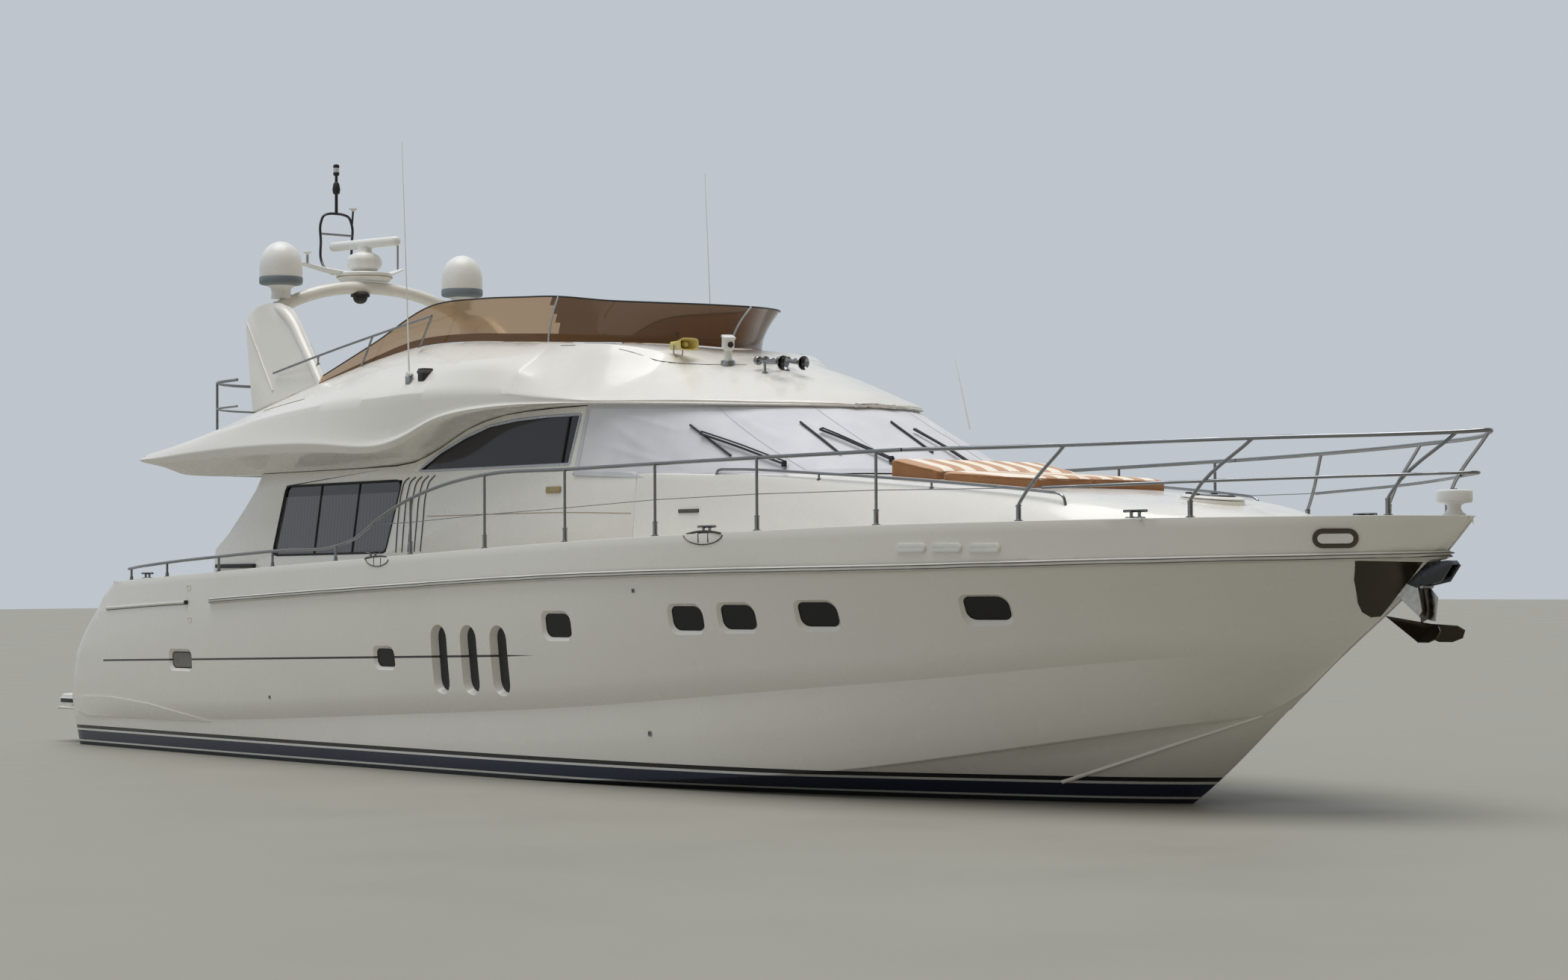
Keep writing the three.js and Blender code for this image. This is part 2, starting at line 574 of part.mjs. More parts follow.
// Coachroof: low trunk ahead of the windscreen, with its crowned top
function coachRing([x, footY, footZ, shoulderY, shoulderZ, crownZ]) {
  const half = [
    [footY, footZ], [(footY + shoulderY) / 2, footZ + (shoulderZ - footZ) * 0.62],
    [shoulderY, shoulderZ], [shoulderY - 110, shoulderZ + (crownZ - shoulderZ) * 0.45 + 18],
  ];
  const port = half.map(([y, z]) => [x, Math.max(y, 5), z]).reverse();
  const starboard = half.map(([y, z]) => [x, -Math.max(y, 5), z]);
  const underDeck = 60;
  return [[x, 0, footZ - underDeck], ...starboard, [x, 0, crownZ], ...port];
}
const coachShell = loft(coachRows.map(coachRing));
const coachroof = overHull(cut(coachShell, box(0, 30000, -3000, 3000, -3000, 2000)));

// Windscreen: curved glass between foot and head lines, and the cloth cover drawn over it
function screenPoint(rows, t) {
  const reach = (rows.length - 1) * t;
  const i = Math.min(Math.floor(reach), rows.length - 2);
  const curve = new THREE.CatmullRomCurve3(rows.map((p) => new THREE.Vector3(...p)), false, 'centripetal');
  return curve.getPoint((i + (reach - i)) / (rows.length - 1));
}
function band(footRows, headRows, inner, outer, steps, low = 0, high = 1) {
  const ring = (t, side) => {
    const foot = screenPoint(footRows, t);
    const head = screenPoint(headRows, t);
    const behind = screenPoint(footRows, Math.max(t - 0.02, 0));
    const ahead = screenPoint(footRows, Math.min(t + 0.02, 1)).sub(behind);
    const rise = head.clone().sub(foot);
    const out = ahead.clone().cross(rise).normalize();
    if (out.dot(new THREE.Vector3(900, foot.y, 500)) < 0) out.negate();
    const corner = (along, depth) => {
      const p = foot.clone().addScaledVector(rise, along).addScaledVector(out, depth);
      return [p.x, side * p.y, p.z];
    };
    return [corner(low, inner), corner(high, inner), corner(high, outer), corner(low, outer)];
  };
  const ts = [...Array(steps + 1).keys()].map((i) => i / steps);
  return loft([...ts.map((t) => ring(t, 1)), ...ts.slice(0, -1).reverse().map((t) => ring(t, -1))], 'yz');
}
add('windscreen', band(screenFoot, screenHead, -glassT, 0, 14, 0.04, 0.95), tinted);
add('windscreen_cover', band(screenFoot, screenHead, coverOut, coverOut + 6, 14, 0.03, 0.93), cloth);

// Flybridge moulding's top surface outside the wells
function roofZ(x, y) {
  const [half, z] = coamingAt(x);
  const [creaseY, creaseZ] = row(flyRows, x).slice(8);
  const d = Math.abs(y);
  return d < half ? z + flyCrown * (1 - d / half) : z + (creaseZ - z) * (d - half) / (creaseY - half);
}

// Flybridge screen: tinted band from the arch's foot round the front of the well, flared forward
const screenSideFoot = [6050, 7000, 7950, 9000, 9800].map((x) => [x, 60 - coamingAt(x)[0]]);
const screenFrontFoot = [[10250, -1450], [10700, -1200], [11100, -900], [11430, -500], [11640, 0]];
const flyScreenFoot = [...screenSideFoot, ...screenFrontFoot].map(([x, y]) => [x, y, roofZ(x, y) + 12]);
const flyScreenHead = [
  [6120, -1760, 4560], [7150, -1700, 4890], [8270, -1650, 5250], [9200, -1620, 5265], [9950, -1580, 5230],
  [10500, -1500, 5200], [11050, -1200, 5130], [11420, -900, 5100], [11780, -500, 5075], [11980, 0, 5060],
];
add('flybridge_screen', band(flyScreenFoot, flyScreenHead, -4, 4, 20), bronze);

// Radar arch: two raked fins and the hoop between them
const finOutline = [
  [4160, 5300], [4190, 5450], [4330, 5540], [4600, 5570], [4900, 5500], [5060, 5400], [5760, 4700],
  [5960, 4480], [5570, 4375], [4700, 4190],
];
function archFin() {
  const g = sidePlate(finOutline, 0, 110);
  const p = g.attributes.position;
  for (let i = 0; i < p.count; i += 1) {
    const x = p.getX(i);
    p.setY(i, p.getY(i) - 1865 + (x - 4700) * 0.09 + (p.getZ(i) - 4300) * 0.24);
  }
  return g;
}
const hoopPoints = [-1540, -1400, -1000, -500, 0, 500, 1000, 1400, 1540].map((y) => [
  hoopX, y, hoopTopZ - hoopR - 330 * Math.pow(Math.abs(y) / 1400, 2.3),
]);
const hoop = (radius) => tube(hoopPoints, radius, 16, 12);
const arch = join(archFin(), mirrored(archFin()), hoop(hoopR));
add('radar_arch', arch, gelcoat);

// Satellite domes on the hoop
const domeProfile = [
  [0, -90], [70, -90], [62, 40], [150, 62], [150, 80], [252, 96], [262, 130], [265, 180], [262, 330],
  [240, 440], [180, 545], [95, 605], [0, 622],
];
const dome = cut(turned(domeProfile, hoopX, -1360, 5720, 16), hoop(hoopR + gap));
addPair('satellite_dome', dome, gelcoat);

// Radar: platform with side arms, pedestal, and the turning scanner bar
const radarBase = [
  [0, -60], [150, -60], [330, 20], [330, 60], [235, 70], [205, 230], [190, 330], [0, 330],
];
const platformBase = turned(radarBase, radarX, 0, 5985, 20);
const armSide = [[radarX - 340, -780, 6150], [radarX - 170, -450, 6062]];
const armPort = armSide.map(([x, y, z]) => [x, -y, z]).reverse();
const arms = tube([...armSide, [radarX, 0, 6010], ...armPort], 38, 12, 8);
const radarPedestal = cut(join(platformBase, arms), hoop(hoopR + gap));
add('radar_pedestal', radarPedestal, gelcoat);
const scannerHub = turned([[0, -60], [95, -60], [95, 0], [0, 0]], 0, 0, 6385, 16);
const scanner = join(box(-600, 600, -60, 60, 6372, 6470), scannerHub);
add('radar_scanner', scanner.rotateZ(scannerTurn).translate(radarX, 0, 0), gelcoat);

// Light mast: ladder frame with its pole
const mastX = radarX - 670;
const mastFrame = join(
  tube([[mastX, -235, 6055], [mastX, -235, 6780], [mastX, -200, 6860], [mastX, 200, 6860], [mastX, 235, 6780],
    [mastX, 235, 6055]], 16, 12),
  rod([mastX, -235, 6560], [mastX, 235, 6560], 12), rod([mastX, -240, 6270], [mastX, 240, 6270], 12),
  rod([mastX, 0, 6260], [mastX, 0, 7400], 20), rod([mastX, 0, 7390], [mastX, 0, 7520], 40, 8),
  rod([mastX, -262, 6040], [mastX, 262, 6040], 24),
  rod([mastX, 0, 6040], [radarX - 180, 0, 6020], 26),
);
const baseRoom = turned([[0, -90], [345, -90], [345, 340], [0, 340]], radarX, 0, 5985, 20);
add('light_mast', cut(mastFrame, baseRoom), steel);

// Guard rails. Stanchions: x, half breadth of the foot, foot z, top's x, half breadth and z
const raked = [
  [20940, 410, 2612, 21520, 215, 3305], [19550, 1365, 2612, 20085, 1150, 3285],
  [18070, 1985, 2603, 18430, 1760, 3270],
];
const upright = [
  [16570, 2335], [15070, 2510], [13590, 2585], [12130, 2615], [10690, 2610], [9260, 2600],
];
const railR = 19;
const railTopZ = (x) => (x > 9000 ? 3235 + (x - 12000) * 0.0075 : 3190);

function pulpit() {
  const side = raked.map(([, , , x, y, z]) => [x, y, z]).reverse();
  const railEnd = [pulpitAftX, 2300, railTopZ(pulpitAftX)];
  const top = [railEnd, ...side, [21690, 0, 3318]];
  const path = [...top.map(([x, y, z]) => [x, -y, z]), ...top.slice(0, -1).reverse()];
  const midSide = [[18260, 1880, 2895], [19800, 1260, 2925], [21180, 330, 2955], [21560, 0, 2965]];
  const midPath = [...midSide.map(([x, y, z]) => [x, -y, z]), ...midSide.slice(0, -1).reverse()];
  const posts = raked.flatMap(([x, y, z, tx, ty, tz]) => [-1, 1].map((s) => tube([
    [x, s * y, z - 25], [x, s * y, z + 130], [x + 40, s * (y - 10), z + 200], [tx, s * ty, tz],
  ], railR - 3, 4)));
  return overHull(join(tube(path, railR, 22), tube(midPath, railR - 5, 14), ...posts));
}
add('pulpit', pulpit(), steel);

function sideRail() {
  const top = [
    [pulpitAftX - 14, 2300, railTopZ(pulpitAftX)], [15070, 2492, railTopZ(15070)],
    [13590, 2570, railTopZ(13590)], [12130, 2600, railTopZ(12130)], [10690, 2600, railTopZ(10690)],
    [9860, 2600, 3130], [9200, 2600, 2990],
    [8650, 2598, 2810], [8100, 2590, 2580], [7700, 2580, 2505], [6600, 2570, 2470], [5000, 2530, 2410],
    [3600, 2450, 2350], [2700, 2370, 2300], [2350, 2300, 2280],
  ].map(([x, y, z]) => [x, -y, z]);
  const posts = upright.map(([x, y]) => rod(
    [x, -y, row(sheerLine, x)[2] - 25], [x, -y + 8, Math.min(railTopZ(x), x < 9500 ? 3000 : 9999)], railR - 3,
  ));
  const stubTops = [
    [7700, 2580, 2505], [6300, 2565, 2460], [5000, 2530, 2410], [3600, 2450, 2350], [2450, 2320, 2288],
  ];
  const stubs = stubTops.map(([x, y, z]) => rod([x, -y, row(sheerLine, x)[2] - 25], [x, -y, z], railR - 5));
  return overHull(join(tube(top, railR, 26), ...posts, ...stubs));
}
addPair('side_rail', sideRail(), steel);

// Aft guard rail of the flybridge
function flyRail() {
  const half = [[4150, -1780], [3420, -1640], [3180, -1400]];
  const outline = [...half, [3120, 0], ...half.map(([x, y]) => [x, -y]).reverse()];
  const loop = (z) => outline.map(([x, y]) => [x, y, z]);
  const posts = [[3420, -1640], [3130, -560], [3130, 560], [3420, 1640]]
    .map(([x, y]) => rod([x, y, flySoleZ + gap], [x, y, 4620], 17));
  return join(tube(loop(4620), 19, 14), tube(loop(4290), 13, 14), tube(loop(3960), 13, 14), ...posts);
}
add('flybridge_aft_rail', flyRail(), steel);

// Handrails along the coachroof's shoulders
const handrailRows = [
  [13600, 1750, 3205], [14400, 1710, 3170], [15600, 1610, 3085], [16800, 1490, 2995], [17900, 1340, 2895],
];
for (const [side, s] of [['starboard', -1], ['port', 1]]) {
  const feet = handrailRows.map(([x, y, z]) => rod([x, s * y, z - 120], [x, s * y, z], 11));
  const rail = join(tube(handrailRows.map(([x, y, z]) => [x, s * y, z]), 14, 8), ...feet);
  add(`coachroof_rail_${side}`, cut(rail, coachroof.clone().translate(0, 0, gap)), steel);
}

// Sunpad on the coachroof: raised back and tapered pad
const padRows = [[15210, 900], [15780, 780], [15800, 776], [17500, 435]]; // x, half width
const padZ = (x) => row(coachRows, x)[5] + 8;
function pad(x0, half0, x1, half1, high0, high1) {
  return loft([[x0, half0, high0], [x1, half1, high1]].map(([x, half, high]) => [
    [x, -half, padZ(x)], [x, half, padZ(x)], [x, half, padZ(x) + high], [x, -half, padZ(x) + high],
  ]));
}
add('sunpad_back', pad(...padRows[0], ...padRows[1], 175, 80), cushion);
add('sunpad', pad(...padRows[2], ...padRows[3], 80, 75), cushion);

// Foredeck hatch: rim moulded on the coachroof, and its round lid
const hatchZ = row(coachRows, hatchX)[5] + 14;
const tilt = (g) => g.rotateY(hatchTilt).translate(hatchX, 0, hatchZ);
const hatchDisc = new THREE.Shape().absarc(0, 0, hatchR, 0, 2 * Math.PI);
add('coachroof', join(coachroof, tilt(flatPlate(hatchDisc, -60, 12, 12))), gelcoat);
add('foredeck_hatch', tilt(turned([
  [0, 18], [hatchR, 18], [hatchR, 30], [hatchR - 30, 46], [0, 52],
], 0, 0, 0, 24)), gelcoat);

// Windlass head, anchor chute and anchor at the stem
const windlassProfile = [
  [0, -30], [90, -30], [90, 20], [50, 45], [50, 110], [150, 125], [155, 190], [130, 222], [0, 228],
];
add('windlass', overHull(turned(windlassProfile, windlassX, 0, row(sheerLine, windlassX)[2], 20)), gelcoat);
const chute = sidePlate([[20450, 2160], [21290, 2222], [21330, 2180], [21220, 2040], [20960, 1990]], -75, 75);
const chuteSlot = [[20300, 2105], [21400, 2190], [21400, 1900], [21000, 1900], [21000, 2040], [20300, 2030]];
add('anchor_chute', cut(chute, hullSolid.clone().translate(1, 0, -1), sidePlate(chuteSlot, -45, 45)), steel);
const shank = sidePlate([[21055, 2115], [21135, 2115], [21110, 1720], [21010, 1700]], -22, 22);
const fluke = loft([
  [[20620, -15, 1690], [20620, 15, 1690], [20620, 15, 1660], [20620, -15, 1660]],
  [[20990, -215, 1790], [20990, 215, 1790], [20990, 30, 1630], [20990, -30, 1630]],
  [[21400, -40, 1570], [21400, 40, 1570], [21400, 30, 1525], [21400, -30, 1525]],
]);
add('anchor', join(shank, fluke), steel);

// Deck gear ahead of the flybridge screen
const hornX = 12830;
const overFly = (g) => cut(g, flySolid.clone().translate(0, 0, gap));
const trumpetProfile = (length) => [
  [0, 0], [28, 0], [24, 60], [20, length * 0.6], [62, length - 20], [78, length], [70, length],
  [0, length - 60],
];
const trumpet = (length, x, y, z) => turned(trumpetProfile(length), 0, 0, 0, 16)
  .rotateY(Math.PI / 2 + 0.12).translate(x, y, z);
function horns() {
  const z = roofZ(hornX, -480) + 100;
  return overFly(join(
    trumpet(470, hornX, -620, z), trumpet(400, hornX + 50, -340, z),
    box(hornX + 110, hornX + 150, -660, -300, z - 42, z + 12),
    rod([hornX + 130, -480, z], [hornX + 130, -480, z - 190], 26),
  ));
}
add('air_horns', horns(), steel);
const lampX = 12450;
const lampZ = roofZ(lampX, -700);
add('searchlight', overFly(join(
  turned([[0, -60], [75, -60], [75, 40], [50, 62], [58, 170], [0, 170]], lampX, -700, lampZ, 16),
  turned([[0, 0], [88, 0], [92, 60], [70, 170], [0, 190]], 0, 0, 0, 16).rotateY(Math.PI / 2)
    .translate(lampX - 90, -700, lampZ + 225),
)), gelcoat);
const hailerX = 12050;
const hailerY = -1000;
const hailerZ = roofZ(hailerX, hailerY);
const hailerProfile = [[0, 0], [52, 0], [48, 90], [92, 240], [88, 250], [0, 215]];
add('loudhailer', overFly(join(
  turned(hailerProfile, 0, 0, 0, 16).rotateY(Math.PI / 2).translate(hailerX - 100, hailerY, hailerZ + 120),
  rod([hailerX, hailerY, hailerZ - 60], [hailerX, hailerY, hailerZ + 110], 18),
)), yellow);

// Running gear under each side: bracket, propeller with its shaft, rudder
function bracket() {
  const ring = new THREE.Shape().absarc(0, 0, 78, 0, 2 * Math.PI);
  ring.holes.push(new THREE.Path().absarc(0, 0, 43, 0, 2 * Math.PI, true));
  const barrel = new THREE.ExtrudeGeometry(ring, { depth: 300, bevelEnabled: false, curveSegments: 8 })
    .rotateY(Math.PI / 2 - slope).translate(...along(180));
  const [x, , z] = along(330);
  const legSide = [[x - 90, z + 55], [x + 90, z + 75], [x + 330, z + 700], [x + 130, z + 700]];
  return underHull(join(barrel, sidePlate(legSide, -shaftY - 16, -shaftY + 16)));
}
addPair('shaft_bracket', bracket(), bronzeMetal);
function propeller() {
  const hub = turned([[0, -120], [45, -110], [82, -40], [88, 80], [80, 110], [0, 110]], 0, 0, 0, 16);
  const blade = new THREE.Shape();
  blade.moveTo(-55, 50);
  blade.bezierCurveTo(-190, 160, -170, 380, 0, propR);
  blade.bezierCurveTo(150, 380, 170, 180, 55, 50);
  const plate = { depth: 14, bevelEnabled: false, curveSegments: 5 };
  const blades = [0, 1, 2, 3].map((i) => new THREE.ExtrudeGeometry(blade, plate)
    .translate(0, 0, -7).rotateY(bladePitch).rotateZ(i * Math.PI / 2));
  const screw = join(hub, ...blades).rotateY(Math.PI / 2 - slope).translate(...along(0));
  return join(screw, rod(along(-60), along(shaftEnd), 38, 12));
}
addPair('propeller', propeller(), bronzeMetal);
function rudder() {
  const blade = loft([-640, -1290].map((z, i) => [
    [2130 - i * 40, 0], [2000, 34], [1760 + i * 60, 10], [1680 + i * 60, 0], [1760 + i * 60, -10],
    [2000, -34],
  ].map(([x, y]) => [x, y - shaftY, z])), 'xy');
  return join(blade, rod([rudderX, -shaftY, -700], [rudderX, -shaftY, -540], 30, 12));
}
addPair('rudder', rudder(), bronzeMetal);

// Trim tabs, hinged along the foot of the transom
addPair('trim_tab', box(700, 1046, -2050, -900, -262, -240), steel);

// Flybridge helm: console with the wheel's column, wheel, seat and settee
const consoleBody = loft([[9950, 60], [10100, 560], [10400, 640]].map(([x, h]) => [
  [x, -1180, flyHelmSoleZ + gap], [x, -200, flyHelmSoleZ + gap], [x, -200, flyHelmSoleZ + h],
  [x, -1180, flyHelmSoleZ + h],
]));
const column = rod([0, 0, -380], [0, 0, -32], 24, 12).rotateY(-wheelTilt).translate(...wheelAt);
add('helm_console', join(consoleBody, column), gelcoat);
const wheelRing = new THREE.TorusGeometry(180, 14, 6, 18);
const spokes = [0, 1, 2].map((i) => rod([0, 0, 0], [180, 0, 0], 10).rotateZ(i * 2 * Math.PI / 3 + 0.3));
const wheelHub = turned([[0, -25], [38, -25], [38, 25], [0, 25]], 0, 0, 0, 12);
add('steering_wheel', join(wheelRing, ...spokes, wheelHub).rotateY(-wheelTilt).translate(...wheelAt), rubber);
const seat = join(
  box(9000, 9480, -1150, -150, flyHelmSoleZ + gap, flyHelmSoleZ + 420),
  box(8920, 9010, -1150, -150, flyHelmSoleZ + gap, flyHelmSoleZ + 850),
);
add('helm_seat', seat, cushion);
add('flybridge_settee', join(
  box(5000, 7900, 900, 1540, flySoleZ + gap, flySoleZ + 420),
  box(5000, 7900, 1400, 1540, flySoleZ + 400, flySoleZ + 760),
), cushion);
add('cockpit_bench', join(
  box(cockpitAftX + 15, cockpitAftX + 620, -1150, 1150, cockpitSoleZ + gap, cockpitSoleZ + 430),
  box(cockpitAftX + 15, cockpitAftX + 150, -1150, 1150, cockpitSoleZ + 400, cockpitSoleZ + 800),
), cushion);

// Stair from the cockpit to the flybridge
function stair() {
  const [x0, x1, y0, y1] = ladderway;
  const rise = flySoleZ - cockpitSoleZ;
  const count = 9;
  const foot = [x0 + 250, cockpitSoleZ + gap];
  const treads = [...Array(count - 1).keys()].map((i) => {
    const t = (i + 1) / count;
    const x = foot[0] + (x1 - 330 - foot[0]) * t;
    return box(x, x + 230, y0 + 60, y1 - 60, cockpitSoleZ + rise * t - 15, cockpitSoleZ + rise * t + 20);
  });
  const stringer = (y) => sidePlate([
    foot, [foot[0] + 240, foot[1]], [x1 - 90, flySoleZ - 200], [x1 - 90, flySoleZ - 20],
    [x1 - 330, flySoleZ - 20],
  ], y, y + 30);
  return join(stringer(y0 + 40), stringer(y1 - 70), ...treads);
}
add('flybridge_stair', stair(), gelcoat);

export default yacht;
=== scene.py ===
# Flybridge motor yacht: its finishes and fine pieces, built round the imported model.
# Metres. X forward, Y to port, Z up from the waterline.
import math
import bmesh
import bpy
from mathutils import Matrix, Vector, noise
from mathutils.bvhtree import BVHTree
from mathutils.geometry import interpolate_bezier


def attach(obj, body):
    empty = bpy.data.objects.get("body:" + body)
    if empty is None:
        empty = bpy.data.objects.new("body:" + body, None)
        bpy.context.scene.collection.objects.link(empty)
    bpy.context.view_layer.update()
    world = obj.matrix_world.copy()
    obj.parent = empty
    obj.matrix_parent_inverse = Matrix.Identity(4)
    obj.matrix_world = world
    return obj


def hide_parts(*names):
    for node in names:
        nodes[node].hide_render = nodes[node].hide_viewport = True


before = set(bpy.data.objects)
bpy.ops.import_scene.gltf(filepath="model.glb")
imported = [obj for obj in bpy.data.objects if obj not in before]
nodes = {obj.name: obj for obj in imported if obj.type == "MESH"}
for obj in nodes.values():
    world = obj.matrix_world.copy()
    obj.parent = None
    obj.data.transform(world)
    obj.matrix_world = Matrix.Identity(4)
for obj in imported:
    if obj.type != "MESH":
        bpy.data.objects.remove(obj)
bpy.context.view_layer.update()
scene = bpy.context.scene


# Selecting and finishing

def deselect():
    if bpy.context.mode != "OBJECT":
        bpy.ops.object.mode_set(mode="OBJECT")
    bpy.ops.object.select_all(action="DESELECT")


def pick(obj):
    deselect()
    obj.select_set(True)
    bpy.context.view_layer.objects.active = obj
    return obj


def editing(obj, mode="VERT"):
    pick(obj)
    bpy.ops.object.mode_set(mode="EDIT")
    bpy.ops.mesh.select_mode(type=mode)


def modify(obj, kind, **settings):
    pick(obj)
    modifier = obj.modifiers.new(kind.lower(), kind)
    for key, value in settings.items():
        setattr(modifier, key, value)
    bpy.ops.object.modifier_apply(modifier=modifier.name)
    return obj


def settle(obj):
    # place, turn and scale go into the mesh, so the object sits at the origin
    pick(obj)
    bpy.ops.object.transform_apply(location=True, rotation=True, scale=True)
    return obj


def smooth(obj, degrees=30):
    pick(obj)
    bpy.ops.object.shade_smooth_by_angle(angle=math.radians(degrees))
    return obj


def paint(obj, *materials):
    obj.data.materials.clear()
    for material in materials:
        obj.data.materials.append(material)
    return obj


def paintFaces(obj, material, test):
    # faces whose centre and normal pass the test take another material
    slot = len(obj.data.materials)
    obj.data.materials.append(material)
    for face in obj.data.polygons:
        if test(face.center, face.normal):
            face.material_index = slot
    return obj


def dress(obj, name, body="hull", degrees=30):
    obj.name = name
    settle(obj)
    smooth(obj, degrees)
    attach(obj, body)
    return obj


def pair(obj, name, degrees=30):
    # the starboard piece, and its mirror image to port
    twin = dress(copyOf(obj, mirrorY), name + "_port", degrees=degrees)
    return dress(obj, name + "_starboard", degrees=degrees), twin


def newMesh(name, points, faces, edges=()):
    mesh = bpy.data.meshes.new(name)
    mesh.from_pydata([tuple(p) for p in points], list(edges), [tuple(f) for f in faces])
    obj = bpy.data.objects.new(name, mesh)
    scene.collection.objects.link(obj)
    return obj


def joined(objects):
    deselect()
    for obj in objects:
        obj.select_set(True)
    bpy.context.view_layer.objects.active = objects[0]
    bpy.ops.object.join()
    return bpy.context.object


def copyOf(obj, matrix=None):
    twin = bpy.data.objects.new(obj.name + "_copy", obj.data.copy())
    scene.collection.objects.link(twin)
    if matrix is not None:
        twin.data.transform(matrix)
        if matrix.determinant() < 0:
            twin.data.flip_normals()
    return twin


mirrorY = Matrix.Diagonal((1, -1, 1, 1))


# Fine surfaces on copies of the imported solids

def copyNode(nodeName, merge=0.0005):
    obj = bpy.data.objects.new(nodeName + "_skin", nodes[nodeName].data.copy())
    scene.collection.objects.link(obj)
    editing(obj)
    bpy.ops.mesh.customdata_custom_splitnormals_clear()
    bpy.ops.mesh.select_all(action="SELECT")
    bpy.ops.mesh.remove_doubles(threshold=merge)
    bpy.ops.mesh.tris_convert_to_quads(face_threshold=math.radians(35), shape_threshold=math.radians(50))
    deselect()
    return obj


def creaseSharpEdges(obj, soft, hard, onLine):
    # edges under soft degrees are left round, those over hard and those along a given line stay sharp
    bm = bmesh.new()
    bm.from_mesh(obj.data)
    layer = bm.edges.layers.float.get("crease_edge") or bm.edges.layers.float.new("crease_edge")
    for edge in bm.edges:
        angle = math.degrees(edge.calc_face_angle(0))
        kept = onLine and all(onLine(v.co) for v in edge.verts)
        edge[layer] = 1.0 if kept else min(1, max(0, (angle - soft) / (hard - soft)))
    bm.to_mesh(obj.data)
    bm.free()


def weighSharpEdges(obj, degrees, seams):
    # sharp edges are marked for the bevel, but not those on a plane where two mouldings meet
    bm = bmesh.new()
    bm.from_mesh(obj.data)
    layer = bm.edges.layers.float.get("bevel_weight_edge") or bm.edges.layers.float.new("bevel_weight_edge")
    for edge in bm.edges:
        sharp = math.degrees(edge.calc_face_angle(0)) > degrees
        onSeam = any(all(abs(v.co[axis] - place) < 0.003 for v in edge.verts) for axis, place in seams)
        edge[layer] = 1.0 if sharp and not onSeam else 0.0
    bm.to_mesh(obj.data)
    bm.free()


def refine(nodeName, pieceName, slotName, material, levels=2, soft=14, hard=28, bevel=0.0, segments=2,
           merge=0.0005, body="hull", bevelAngle=32, seams=(), onLine=None, reshape=None):
    obj = paint(copyNode(nodeName, merge), material)
    if reshape:
        reshape(obj)
    if levels:
        creaseSharpEdges(obj, soft, hard, onLine)
        modify(obj, "SUBSURF", levels=levels, render_levels=levels)
    if bevel:
        weighSharpEdges(obj, bevelAngle, seams)
        modify(obj, "BEVEL", width=bevel, segments=segments, limit_method="WEIGHT", use_clamp_overlap=False,
               miter_outer="MITER_ARC")
    dress(obj, pieceName, body=body)
    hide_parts(nodeName)
    return obj


# Tubes and turned pieces

def smoothPath(points, steps=8):
    # a smooth curve through the points
    points = [Vector(p) for p in points]
    last = len(points) - 1
    lengths = [(b - a).length for a, b in zip(points, points[1:])]
    slopes = []
    for i in range(len(points)):
        if i in (0, last):
            a, b = (0, 1) if i == 0 else (last - 1, last)
            slopes.append((points[b] - points[a]) / lengths[a])
        else:
            before, after = lengths[i - 1], lengths[i]
            slopeIn = (points[i] - points[i - 1]) / before
            slopeOut = (points[i + 1] - points[i]) / after
            slopes.append((slopeIn * after + slopeOut * before) / (before + after))
    path = []
    for i, span in enumerate(lengths):
        stretch = interpolate_bezier(points[i], points[i] + slopes[i] * span / 3,
                                     points[i + 1] - slopes[i + 1] * span / 3, points[i + 1], steps + 1)
        path += stretch[:-1]
    return path + [points[-1]]


def tubes(runs, material, roundness=4, cyclic=False):
    # runs of (points, radius, or first and last radius) become round bars in one mesh
    curve = bpy.data.curves.new("tubes", "CURVE")
    curve.dimensions = "3D"
    curve.bevel_depth = 1
    curve.bevel_resolution = roundness
    curve.use_fill_caps = True
    for points, radius in runs:
        spline = curve.splines.new("POLY")
        spline.points.add(len(points) - 1)
        spline.use_cyclic_u = cyclic
        first, last = radius if isinstance(radius, tuple) else (radius, radius)
        for i, (corner, point) in enumerate(zip(spline.points, points)):
            corner.co = (*point, 1)
            corner.radius = first + (last - first) * i / (len(points) - 1)
    obj = bpy.data.objects.new("tubes", curve)
    scene.collection.objects.link(obj)
    pick(obj)
    bpy.ops.object.convert(target="MESH")
    return paint(bpy.context.object, material)


def turned(profile, material, segments=32, at=(0, 0, 0), facing=(0, 0, 1)):
    # profile of (radius, height), spun about the upright and laid along facing
    obj = newMesh("turned", [(r, 0, h) for r, h in profile], [],
                  [(i, i + 1) for i in range(len(profile) - 1)])
    editing(obj)
    bpy.ops.mesh.select_all(action="SELECT")
    bpy.ops.mesh.spin(steps=segments, angle=2 * math.pi, center=(0, 0, 0), axis=(0, 0, 1))
    bpy.ops.mesh.select_all(action="SELECT")
    bpy.ops.mesh.remove_doubles(threshold=0.0001)
    bpy.ops.mesh.normals_make_consistent(inside=False)
    deselect()
    turn = Vector((0, 0, 1)).rotation_difference(Vector(facing)).to_matrix().to_4x4()
    obj.data.transform(Matrix.Translation(at) @ turn)
    return paint(obj, material)


def lofted(rings, material):
    # a closed skin through rings of points
    count = len(rings[0])
    last = len(rings) - 1
    faces = [(s * count + i, s * count + (i + 1) % count, (s + 1) * count + (i + 1) % count, (s + 1) * count + i)
             for s in range(last) for i in range(count)]
    faces += [range(count), range(last * count, (last + 1) * count)]
    obj = newMesh("lofted", [point for ring in rings for point in ring], faces)
    editing(obj)
    bpy.ops.mesh.select_all(action="SELECT")
    bpy.ops.mesh.normals_make_consistent(inside=False)
    deselect()
    return paint(obj, material)


